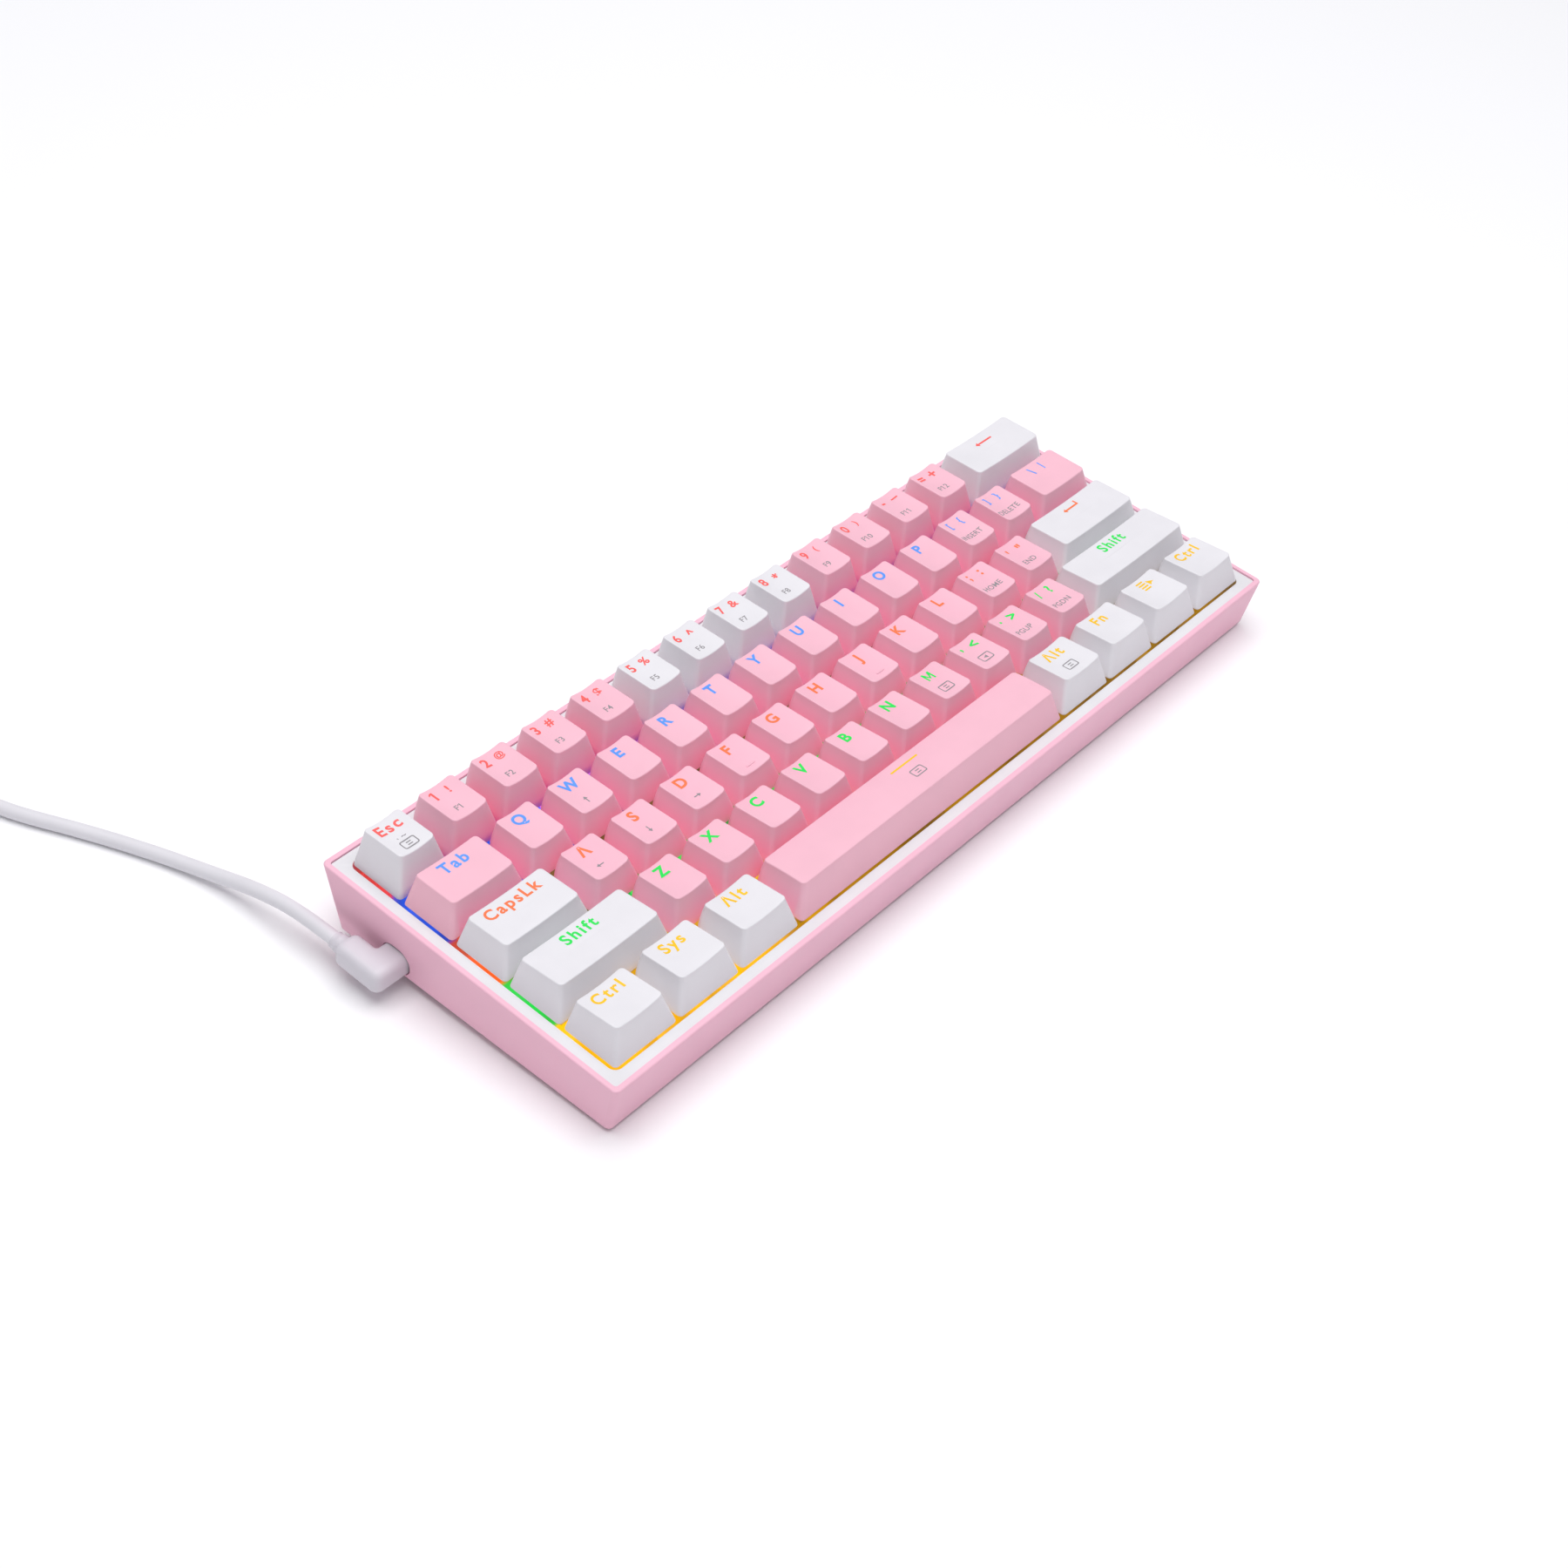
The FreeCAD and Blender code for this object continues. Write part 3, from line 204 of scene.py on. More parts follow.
COIL_BOTTOM = 0.1 * MM
COIL_STEPS = 24                 # points for each turn
COIL_LAST_TURN = 53 / 360       # part of a turn beyond the ninth
COIL_SHIFT_SHARE = 1 / 9        # part of a turn over which the cable moves across or up
LEAD_RADIUS = 15.0 * MM
TIE_LOWEST = 0.02 * MM
TIE_ANGLE = math.radians(215)
TIE_HALF_WIDTH = 4.5 * MM
USB_A_X = -12.7 * MM
USB_A_RELIEF_END = 3.0 * MM
USB_A_RELIEF = 6.0 * MM
USB_A_GRIP = 24.0 * MM
USB_A_SHELL = 12.0 * MM
USB_A_HALF_WIDTH = 6.0 * MM
USB_A_HALF_HEIGHT = 3.8 * MM
USB_A_LEVEL = COIL_BOTTOM + COIL_LAYERS * CABLE_DIAMETER + USB_A_HALF_HEIGHT

# Stage, light and camera
FLOOR_HALF = 6.0
WORLD_COLOUR = (0.965, 0.965, 1.02)
WORLD_STRENGTH = 0.42
LIGHT_HEIGHT = 1.6
LIGHT_SIZE = 1.5
LIGHT_POWER = 22.5
CAMERA_PLACE = Vector((-0.45323, -0.31891, 0.48043))
CAMERA_FORWARD = Vector((0.60293, 0.44516, -0.66205))
CAMERA_UP = Vector((0.47076, 0.47145, 0.74573))
CAMERA_LENS = 57.56             # for a sensor 36 wide


# ---- Colours ----

def srgb(red, green, blue):
    """A display colour of 0 to 255 as the linear colour that shaders use."""
    linear = []
    for value in (red, green, blue):
        share = value / 255
        linear.append(share / 12.92 if share <= 0.04045 else ((share + 0.055) / 1.055) ** 2.4)
    return tuple(linear)


ROW_LIGHT = {
    "number_row": srgb(255, 70, 62),
    "top_row": srgb(20, 85, 225),
    "home_row": srgb(255, 88, 20),
    "lower_row": srgb(0, 185, 62),
    "space_row": srgb(238, 172, 0),
}
INNER_LIGHT = {**ROW_LIGHT, "home_row": srgb(120, 84, 40)}  # away from the left end
ROW_LEGEND = {
    "number_row": srgb(250, 102, 98),
    "top_row": srgb(92, 156, 253),
    "home_row": srgb(249, 124, 74),
    "lower_row": srgb(36, 232, 90),
    "space_row": srgb(254, 200, 22),
}


# ---- Mesh helpers ----

def outline(x_half, y_front, y_back, radius, per_corner=6, across=1, along=1, rounder_back=0.0):
    """A rounded rectangle as a ring of (x, y), with extra points on its straight sides."""
    front_radius = max(min(radius, x_half - 1e-6, (y_back - y_front) / 2 - 1e-6), 1e-6)
    corners = [(1, 1), (-1, 1), (-1, -1), (1, -1)]
    arcs = []
    for quarter, (side_x, side_y) in enumerate(corners):
        radius = front_radius + rounder_back if side_y > 0 else front_radius
        x = side_x * (x_half - radius)
        y = y_back - radius if side_y > 0 else y_front + radius
        arc = []
        for step in range(per_corner + 1):
            angle = math.radians(90 * quarter + 90 * step / per_corner)
            arc.append((x + radius * math.cos(angle), y + radius * math.sin(angle)))
        arcs.append(arc)
    ring = []
    for quarter, arc in enumerate(arcs):
        ring += arc
        (x0, y0), (x1, y1) = arc[-1], arcs[(quarter + 1) % 4][0]
        parts = across if quarter % 2 == 0 else along
        for step in range(1, parts):
            share = step / parts
            ring.append((x0 + (x1 - x0) * share, y0 + (y1 - y0) * share))
    return ring


def loft(bm, rings, material=0, closed_loop=False):
    """Joins rings of points with faces: in a closed loop, or with both ends closed."""
    rows = [[bm.verts.new(point) for point in ring] for ring in rings]
    faces = []
    count = len(rows[0])
    pairs = list(zip(rows, rows[1:]))
    if closed_loop:
        pairs.append((rows[-1], rows[0]))
    for low, high in pairs:
        for i in range(count):
            j = (i + 1) % count
            faces.append(bm.faces.new((low[i], low[j], high[j], high[i])))
    if not closed_loop:
        faces.append(bm.faces.new(rows[0][::-1]))
        faces.append(bm.faces.new(rows[-1]))
    for face in faces:
        face.material_index = material


def add_object(name, data):
    """A new object in the scene."""
    holder = bpy.data.objects.new(name, data)
    bpy.context.scene.collection.objects.link(holder)
    return holder


def make_piece(name, bm, materials, body, sharp_angle=42.0, matrix=BOARD_TO_FLOOR):
    """Turns a bmesh into a smooth-shaded piece that rides on a body."""
    bmesh.ops.recalc_face_normals(bm, faces=bm.faces)
    bm.transform(matrix)
    mesh = bpy.data.meshes.new(name)
    bm.to_mesh(mesh)
    bm.free()
    mesh.polygons.foreach_set("use_smooth", [True] * len(mesh.polygons))
    mesh.set_sharp_from_angle(angle=math.radians(sharp_angle))
    for material in materials:
        mesh.materials.append(material)
    piece = add_object(name, mesh)
    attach(piece, body)
    return piece


# ---- Materials ----

class Surface:
    """A Principled material with helpers that add procedural detail to it."""

    def __init__(self, name, colour, roughness, metallic=0.0):
        self.material = bpy.data.materials.new(name)
        self.material.use_nodes = True
        self.nodes = self.material.node_tree.nodes
        self.links = self.material.node_tree.links
        self.shader = self.nodes["Principled BSDF"]
        self.colour = colour
        self.shader.inputs["Base Color"].default_value = (*colour, 1.0)
        self.shader.inputs["Roughness"].default_value = roughness
        self.shader.inputs["Metallic"].default_value = metallic
        self.place = self.nodes.new("ShaderNodeTexCoord").outputs["Object"]

    def noise(self, size, detail=2.0, stretch=None):
        """Noise with features of about the given size in metres, between 0 and 1."""
        texture = self.nodes.new("ShaderNodeTexNoise")
        texture.inputs["Scale"].default_value = 1.0 / size
        texture.inputs["Detail"].default_value = detail
        place = self.place
        if stretch is not None:
            mapping = self.nodes.new("ShaderNodeMapping")
            mapping.inputs["Scale"].default_value = stretch
            self.links.new(place, mapping.inputs["Vector"])
            place = mapping.outputs["Vector"]
        self.links.new(place, texture.inputs["Vector"])
        return texture.outputs["Fac"]

    def axes(self):
        """The outputs X, Y and Z of the place on the surface."""
        split = self.nodes.new("ShaderNodeSeparateXYZ")
        self.links.new(self.place, split.inputs["Vector"])
        return split.outputs

    def ramp(self, source, low, high, from_low=0.0, from_high=1.0):
        """Maps a value from one range to another, without going past its ends."""
        node = self.nodes.new("ShaderNodeMapRange")
        self.links.new(source, node.inputs["Value"])
        for socket, value in (("From Min", from_low), ("From Max", from_high),
                              ("To Min", low), ("To Max", high)):
            node.inputs[socket].default_value = value
        return node.outputs["Result"]

    def maths(self, operation, *sources):
        """The result of an operation on other nodes' outputs."""
        node = self.nodes.new("ShaderNodeMath")
        node.operation = operation
        for source, socket in zip(sources, node.inputs):
            self.links.new(source, socket)
        return node.outputs[0]

    def mix(self, factor, first, second):
        """Mixes two colours, each a plain colour or another node's output."""
        node = self.nodes.new("ShaderNodeMix")
        node.data_type = "RGBA"
        self.links.new(factor, node.inputs["Factor"])
        for socket, colour in ((node.inputs[6], first), (node.inputs[7], second)):
            if isinstance(colour, tuple):
                socket.default_value = (*colour, 1.0)
            else:
                self.links.new(colour, socket)
        return node.outputs[2]

    def vary(self, amount, size):
        """Clouds of slightly lighter and darker colour."""
        darker = tuple(c * (1 - amount) for c in self.colour)
        lighter = tuple(min(c * (1 + amount), 1.0) for c in self.colour)
        factor = self.ramp(self.noise(size, 3.0), 0.0, 1.0, 0.3, 0.7)
        self.colour_output = self.mix(factor, darker, lighter)
        self.links.new(self.colour_output, self.shader.inputs["Base Color"])
        return self

    def paint_gap_shade(self, colour, height):
        """Painted shade: a deeper colour low between the caps, where shade and light bounced from cap
        to cap would deepen it.
        """
        up = BOARD_TO_FLOOR.to_3x3() @ Vector((0, 0, 1))
        plate = up.dot(BOARD_TO_FLOOR.translation)
        level = self.nodes.new("ShaderNodeVectorMath")
        level.operation = "DOT_PRODUCT"
        self.links.new(self.place, level.inputs[0])
        level.inputs[1].default_value = up
        share = self.ramp(level.outputs["Value"], 1.0, 0.0, plate, plate + height)
        axes = self.axes()
        for axis, half in (("X", FIELD_WIDTH / 2), ("Y", len(ROW_PROFILES) / 2 * PITCH)):
            inside = self.ramp(self.maths("ABSOLUTE", axes[axis]), 1.0, 0.0,
                               half - OUTER_SKIRT - OUTER_SKIRT_BLEND, half - OUTER_SKIRT)
            share = self.maths("MULTIPLY", share, inside)
        self.colour_output = self.mix(share, self.colour_output, colour)
        return self

    def paint_edge_highlight(self, colour, share):
        """Painted highlight: lighter edges where the surface bends outward."""
        geometry = self.nodes.new("ShaderNodeNewGeometry")
        factor = self.ramp(geometry.outputs["Pointiness"], 0.0, share, 0.51, 0.60)
        mixed = self.mix(factor, self.colour_output, colour)
        self.links.new(mixed, self.shader.inputs["Base Color"])
        return self

    def grain(self, size, depth, stretch=None):
        """A fine moulded or brushed grain, as a bump of the given depth in metres."""
        bump = self.nodes.new("ShaderNodeBump")
        bump.inputs["Distance"].default_value = depth
        bump.inputs["Strength"].default_value = 1.0
        self.links.new(self.noise(size, stretch=stretch), bump.inputs["Height"])
        self.links.new(bump.outputs["Normal"], self.shader.inputs["Normal"])
        return self

    def sheen_map(self, low, high, size):
        """Roughness that changes slowly over the surface."""
        self.links.new(self.ramp(self.noise(size, 3.0), low, high, 0.3, 0.7),
                       self.shader.inputs["Roughness"])
        return self

    def glow(self, colour, strength):
        """Light of one colour from the whole surface."""
        self.shader.inputs["Emission Color"].default_value = (*colour, 1.0)
        self.shader.inputs["Emission Strength"].default_value = strength
        return self


def moulded(name, colour, low, high, grain=0.00035, depth=0.000012, gap_shade=None):
    """Satin moulded plastic with faint clouds and fine grain, a painted highlight on its outward edges
    and, if a shade colour is given, a painted shade low between the caps.
    """
    surface = Surface(name, colour, (low + high) / 2)
    # Painted highlight: a lighter colour on the edges that bend outward
    edge_highlight_colour = tuple(min(1.0, c * 1.04 + 0.01) for c in colour)
    surface.vary(0.018, 0.012)
    # Painted shade: a deeper colour low between the caps, if one is given
    if gap_shade is not None:
        surface.paint_gap_shade(gap_shade, PAINTED_GAP_SHADE_HEIGHT)
    surface.paint_edge_highlight(edge_highlight_colour, 0.5).sheen_map(low, high, 0.006).grain(grain, depth)
    return surface.material


def metal(name, colour, low, high, stretch=(1.0, 1.0, 1.0)):
    """Bare metal with faint clouds and a fine grain, which can run along one axis."""
    surface = Surface(name, colour, (low + high) / 2, metallic=1.0)
    surface.vary(0.06, 0.004).sheen_map(low, high, 0.002)
    surface.grain(0.0003, 0.000006, stretch=stretch)
    return surface.material


def legend_material(row):
    """Legend that is lit from behind in its row's colour."""
    colour = ROW_LEGEND[row]
    surface = Surface("legend_" + row, tuple(0.78 * c for c in colour), 0.42)
    surface.vary(0.05, 0.002).sheen_map(0.35, 0.5, 0.003).grain(0.0003, 0.000008)
    surface.glow(colour, 0.22)
    return surface.material


def row_bands(surface, rows, lights):
    """The lamps' colours from the front row to the back row."""
    node = surface.nodes.new("ShaderNodeValToRGB")
    surface.links.new(rows, node.inputs["Fac"])
    stops = node.color_ramp.elements
    places = []
    for i, row in enumerate(reversed(list(ROW_PROFILES))):
        places.append((i / len(ROW_PROFILES) + BAND_BLEND, lights[row]))
        places.append(((i + 1) / len(ROW_PROFILES) - BAND_BLEND, lights[row]))
    for place, colour in places[1:-1]:
        stop = stops.new(place)
        stop.color = (*colour, 1.0)
    stops[0].position, stops[0].color = places[0][0], (*places[0][1], 1.0)
    stops[-1].position, stops[-1].color = places[-1][0], (*places[-1][1], 1.0)
    return node.outputs["Color"]


def row_glow(surface, dim, bright):
    """Lights a surface by the lamps of each row, in that row's colour and in soft patches."""
    axes = surface.axes()
    depth = len(ROW_PROFILES) / 2 * PITCH
    rows = surface.ramp(axes["Y"], 0.0, 1.0, BAND_SHIFT - depth, BAND_SHIFT + depth)
    inward = surface.ramp(axes["X"], 0.0, 1.0, *(FIELD_LEFT + x for x in INNER_FROM))
    colour = surface.mix(inward, row_bands(surface, rows, ROW_LIGHT),
                         row_bands(surface, rows, INNER_LIGHT))
    surface.links.new(colour, surface.shader.inputs["Emission Color"])
    patches = surface.ramp(surface.noise(0.012, 1.0), dim, bright, 0.35, 0.65)
    strength = surface.maths("MULTIPLY", patches, lamp_cover(surface, axes))
    surface.links.new(strength, surface.shader.inputs["Emission Strength"])


def lamp_cover(surface, axes):
    """Brightness along the front row, which fades from the left end to the space key."""
    beside = surface.ramp(axes["X"], 1.0, SPACE_LIGHT, SPACE_LEFT, SPACE_LEFT + SPACE_FADE)
    behind = surface.ramp(axes["Y"], 0.0, 1.0, *FRONT_ROW_Y)
    return surface.maths("MAXIMUM", beside, behind)


def plate_material():
    """Painted plate, lit by the lamps."""
    surface = Surface("plate_paint", srgb(104, 100, 104), 0.45)
    surface.vary(0.02, 0.01).sheen_map(0.38, 0.52, 0.004).grain(0.0004, 0.00001)
    row_glow(surface, 0.6, 1.5)
    return surface.material


def housing_material():
    """Translucent switch housings that carry the lamps' light."""
    surface = Surface("switch_housing", srgb(120, 116, 122), 0.28)
    surface.vary(0.02, 0.006).sheen_map(0.22, 0.34, 0.004).grain(0.0004, 0.000006)
    row_glow(surface, 0.6, 1.2)
    return surface.material


PINK = srgb(244, 188, 204)
# Painted shade: the deeper pink that the skirts get low between the caps
PAINTED_GAP_SHADE_PINK = srgb(251, 166, 193)

# Name, colour, lowest and highest roughness, and the size and depth of the grain if it isn't fine
MOULDED = [
    ("key_white", (230, 228, 232), 0.40, 0.52),
    ("stem_plastic", (120, 74, 48), 0.3, 0.4),
    ("grey_print", (146, 142, 146), 0.45, 0.55),
    ("case_pink", (241, 187, 206), 0.46, 0.58, 0.0005, 0.000018),
    ("frame_white", (224, 223, 226), 0.44, 0.55, 0.0005, 0.000015),
    ("circuit_board", (24, 52, 38), 0.3, 0.42),
    ("stabiliser_plastic", (214, 212, 214), 0.4, 0.5),
    ("foot_rubber", (46, 45, 48), 0.7, 0.85, 0.0008, 0.00004),
    ("chip_plastic", (34, 34, 37), 0.45, 0.6),
    ("plug_plastic", (214, 210, 217), 0.38, 0.5),
    ("plug_insulator", (48, 48, 52), 0.45, 0.55),
    ("cable_jacket", (224, 222, 227), 0.45, 0.58, 0.0006, 0.00002),
    ("tie_fabric", (214, 210, 216), 0.75, 0.9, 0.0004, 0.00006),
]
METALS = [
    ("spring_steel", (0.70, 0.68, 0.64), 0.25, 0.4),
    ("contact_brass", (0.80, 0.60, 0.30), 0.28, 0.42),
    ("wire_steel", (0.66, 0.66, 0.68), 0.25, 0.38),
    ("screw_steel", (0.60, 0.60, 0.62), 0.3, 0.45),
    ("socket_steel", (0.66, 0.67, 0.68), 0.25, 0.4, (1.0, 8.0, 1.0)),
]
MATERIALS = {
    # The pink keys get the painted shade low between the caps
    "key_pink": moulded("key_pink", PINK, 0.42, 0.54, gap_shade=PAINTED_GAP_SHADE_PINK),
    "plate_paint": plate_material(),
    "switch_housing": housing_material(),
    "led_lens": Surface("led_lens", (0.9, 0.92, 0.95), 0.15).vary(0.03, 0.001).material,
}
MATERIALS.update({name: moulded(name, srgb(*colour), *rest) for name, colour, *rest in MOULDED})
MATERIALS.update({name: metal(name, *rest) for name, *rest in METALS})
LEGEND_MATERIALS = {row: legend_material(row) for row in ROW_PROFILES}


# ---- Keycaps ----

class Cap:
    """The shape of one keycap, about the middle of its skirt."""

    def __init__(self, row, units, rounder_back):
        _, self.front_height, self.back_height, self.shift = ROW_PROFILES[row]
        self.units = units
        self.rounder_back = rounder_back
        self.x_half = (units * PITCH - CAP_GAP) / 2
        self.y_half = (PITCH - CAP_GAP) / 2
        self.top_x_half = self.x_half - CAP_TOP_INSET
        self.top_y_half = CAP_TOP_DEPTH / 2
        self.across = max(8, int(6 * units))
        self.dish = WIDE_CAP_DISH if units >= WIDE_CAP_UNITS else CAP_DISH

    def top_height(self, x, y):
        """Height of the dished or crowned top at a place on the cap."""
        share = (y - self.shift + self.top_y_half) / CAP_TOP_DEPTH
        rim = self.front_height + (self.back_height - self.front_height) * share
        if self.units >= FLAT_TOP_UNITS:
            along = min(abs(y - self.shift) / self.top_y_half, 1.0)
            return rim + SPACE_CROWN * (1 - along ** 2) - SPACE_CROWN
        aside = min(abs(x) / self.top_x_half, 1.0)
        return rim - self.dish * (1 - aside ** 2)

    def ring(self, share, inset=0.0):
        """Outline at a share of the way from the skirt's edge to the top, drawn in by inset."""
        x_half = self.x_half + (self.top_x_half - self.x_half) * share - inset
        y_front = -self.y_half + (self.shift - self.top_y_half + self.y_half) * share + inset
        y_back = self.y_half + (self.shift + self.top_y_half - self.y_half) * share - inset
        radius = CAP_CORNER_RADIUS + (CAP_TOP_CORNER_RADIUS - CAP_CORNER_RADIUS) * share
        return outline(x_half, y_front, y_back, max(radius - inset, 0.15 * MM), 6, self.across, 8,
                       self.rounder_back * (1 - share) ** 2)

    def rings(self):
        """Rings from the ceiling inside, round the skirt's edge, to the middle of the top."""
        ceiling = min(self.front_height, self.back_height) - CAP_CEILING
        mean = (self.front_height + self.back_height) / 2
        rings = []
        for z, share, inset in ((ceiling, ceiling / mean, CAP_WALL), (SKIRT_INNER_EDGE, 0.0, CAP_WALL),
                                (0.0, 0.0, CAP_WALL - SKIRT_INNER_EDGE), (0.0, 0.0, SKIRT_EDGE)):
            rings.append([(x, y, z) for x, y in self.ring(share, inset)])
        rim = self.ring(1.0)
        for share in (0.02, 0.25, 0.5, 0.75, 1.0):
            ring = []
            for (x, y), (rim_x, rim_y) in zip(self.ring(share), rim):
                ring.append((x, y, share * (self.top_height(rim_x, rim_y) - CAP_EDGE_RADIUS)))
            rings.append(ring)
        for step in range(1, 6):
            angle = math.radians(18 * step)
            inset = CAP_EDGE_RADIUS * (1 - math.cos(angle))
            drop = CAP_EDGE_RADIUS * (1 - math.sin(angle))
            rings.append([(x, y, self.top_height(x, y) - drop) for x, y in self.ring(1.0, inset)])
        deepest = min(self.top_x_half, self.top_y_half) - 0.35 * MM
        for step in range(1, 8):
            inset = CAP_EDGE_RADIUS + (deepest - CAP_EDGE_RADIUS) * step / 7
            rings.append([(x, y, self.top_height(x, y)) for x, y in self.ring(1.0, inset)])
        return rings


def add_stem(bm, x, blocks):
    """A stem under the cap: the cross that a post takes, and the blocks below it."""
    for sizes in CROSS + blocks:
        y, half_width, half_depth, low, high, bevel = (size * MM for size in sizes)
        rings = []
        for z, inset in ((low, bevel), (low + bevel, 0.0), (high - bevel, 0.0), (high, bevel)):
            ring = outline(half_width - inset, inset - half_depth, half_depth - inset, bevel, 3)
            rings.append([(x + px, y + py, z) for px, py in ring])
        loft(bm, rings, 1)


def add_post(bm, cap, x):
    """The post under the cap's ceiling that takes the stem's cross."""
    top = min(cap.front_height, cap.back_height) - CAP_CEILING + 0.3 * MM
    rings = []
    for z, radius in ((0.1 * MM, POST_RADIUS - 0.2 * MM), (0.3 * MM, POST_RADIUS),
                      (top, POST_RADIUS)):
        ring = outline(radius, -radius, radius, radius, 6)
        rings.append([(x + px, py, z) for px, py in ring])
    loft(bm, rings)


def add_homing_bar(bm, cap):
    """The raised bar that the forefinger finds."""
    y = cap.shift + HOMING_BAR_Y
    rings = []
    for height, inset in ((-0.15, 0.0), (0.12, 0.0), (0.24, 0.1), (0.28, 0.22)):
        x_half, y_half = (half - inset * MM for half in HOMING_BAR_HALF)
        ring = outline(x_half, y - y_half, y + y_half, 0.3 * MM, 4, 6)
        rings.append([(px, py, cap.top_height(px, py) + height * MM) for px, py in ring])
    loft(bm, rings)


def node_of_key(name, colour):
    """The CAD node, and so the body, that a key belongs to."""
    own = len(name) == 1 or name in SINGLE_KEYS
    return "key_" + name if own else SHARED_NODES[colour]


def make_keycap(name, cap, place, node, colour, second):
    """The cap with its stems, instead of the CAD's."""
    bm = bmesh.new()
    loft(bm, cap.rings())
    spread = STABILISER_SPREAD.get(name)
    for x in [0.0] if spread is None else [-spread, spread, 0.0]:
        add_post(bm, cap, x)
        add_stem(bm, x, SIDE_STEM if x else SWITCH_STEM)
    if second == "<bar>":
        add_homing_bar(bm, cap)
    piece = make_piece("keycap_" + name, bm, [MATERIALS[colour], MATERIALS["stem_plastic"]], node,
                       matrix=place)
    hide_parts(node)


# ---- Legends ----

def text_polygons(text, size, weight=0.0, spacing=1.0):
    """The faces of a line of text as lists of (x, y), on a baseline at y = 0."""
    curve = bpy.data.curves.new("legend_text", "FONT")
    curve.body = text
    curve.resolution_u = 4
    curve.offset = weight
    curve.space_character = spacing
    holder = bpy.data.objects.new("legend_text", curve)
    mesh = bpy.data.meshes.new_from_object(holder)
    polygons = []
    for polygon in mesh.polygons:
        points = [mesh.vertices[i].co for i in polygon.vertices]
        polygons.append([(p.x * size, p.y * size) for p in points])
    bpy.data.objects.remove(holder)
    bpy.data.curves.remove(curve)
    bpy.data.meshes.remove(mesh)
    return polygons


def extent(polygons, axis):
    """The lowest and highest place along an axis."""
    values = [point[axis] for polygon in polygons for point in polygon]
    return min(values), max(values)


def shifted(polygons, x, y):
    """Moves polygons."""
    return [[(px + x, py + y) for px, py in polygon] for polygon in polygons]


def centred(polygons, low=None, high=None):
    """Moves polygons about the middle of their width, and of their height or a stated one."""
    left, right = extent(polygons, 0)
    if low is None:
        low, high = extent(polygons, 1)
    return shifted(polygons, -(left + right) / 2, -(low + high) / 2)


CAPITAL_HEIGHT = extent(text_polygons("H", 1.0), 1)[1]


def one_flags(text, size, weight, spacing):
    """The short flags at the top of each figure one, which the font draws as a plain bar."""
    flags = []
    for i, letter in enumerate(text):
        if letter == "1":
            right = extent(text_polygons(text[:i + 1], size, weight, spacing), 0)[1]
            left = right - 0.15 * size
            top = (CAPITAL_HEIGHT + weight) * size
            drop, reach = 0.13 * size, 0.17 * size
            flags.append([(left, top), (left - reach, top - drop), (left - reach, top - 1.9 * drop),
                          (left, top - drop)])
    return flags


def word(text, height, weight, spacing):
    """A word with its capitals at the given height, about its middle."""
    style = (height / CAPITAL_HEIGHT, weight, spacing)
    return centred(text_polygons(text, *style) + one_flags(text, *style), 0.0, height)


def symbol(text, height, weight):
    """One symbol about its own middle, made smaller where it stands taller than a capital."""
    style = (height / CAPITAL_HEIGHT, weight, 1.0)
    polygons = centred(text_polygons(text, *style) + one_flags(text, *style))
    shrink = min(1.0, height / (2 * extent(polygons, 1)[1]))
    return [[(x * shrink, y * shrink) for x, y in polygon] for polygon in polygons]


def letter_m(height):
    """A bold M about its middle; the font's own M fills in when its strokes are widened."""
    half, high, stroke = 0.46 * height, 0.5 * height, 0.17 * height
    notch, foot = 0.1 * height, 0.36 * height
    left = [(0.0, -foot), (stroke - half, notch), (stroke - half, -high), (-half, -high),
            (-half, high), (1.15 * stroke - half, high)]
    right = [(-x, y) for x, y in reversed(left[1:])]
    return [left + [(0.0, foot - high)] + right]


def bar(x_range, y_range):
    """One plain rectangle."""
    (x0, x1), (y0, y1) = x_range, y_range
    return [[(x0, y0), (x1, y0), (x1, y1), (x0, y1)]]


def arrow(length, head, width):
    """An arrow that points left, about its middle."""
    tip = -length / 2
    neck = tip + head
    half = width / 2
    return [[(tip, 0.0), (neck, -head * 0.7), (neck, -half), (-tip, -half),
             (-tip, half), (neck, half), (neck, head * 0.7)]]


def turned(polygons, quarter_turns):
    """Turns polygons to the right by quarter turns."""
    for _ in range(quarter_turns):
        polygons = [[(y, -x) for x, y in polygon] for polygon in polygons]
    return polygons


def frame_sign():
    """A rounded frame, as faces between an outer and an inner outline."""
    half_width, half_height = BOX_SIZE[0] / 2, BOX_SIZE[1] / 2
    outer = outline(half_width, -half_height, half_height, 0.6 * MM, 3)
    inner = outline(half_width - THIN_LINE, -half_height + THIN_LINE, half_height - THIN_LINE,
                    0.4 * MM, 3)
    faces = []
    for i, start in enumerate(outer):
        j = (i + 1) % len(outer)
        faces.append([start, outer[j], inner[j], inner[i]])
    return faces


def return_sign():
    """The arrow of the return key, with its upright tail."""
    tail = 3.7 * MM
    sign = arrow(7.4 * MM, 1.3 * MM, LINE_WIDTH)
    return sign + bar((tail - LINE_WIDTH, tail), (LINE_WIDTH / 2, 1.8 * MM))


def menu_sign():
    """Four short lines and a pointer."""
    sign = []
    for step in range(4):
        y = (1.15 * step - 1.725) * MM          # four lines 1.15 mm apart, about y = 0
        sign += bar((-2.4 * MM, 0.8 * MM), (y - 0.29 * MM, y + 0.29 * MM))
    pointer = [(1.4 * MM, 1.2 * MM), (1.7 * MM, -1.3 * MM), (2.6 * MM, -0.6 * MM),
               (3.7 * MM, -0.4 * MM)]
    return sign + [pointer]


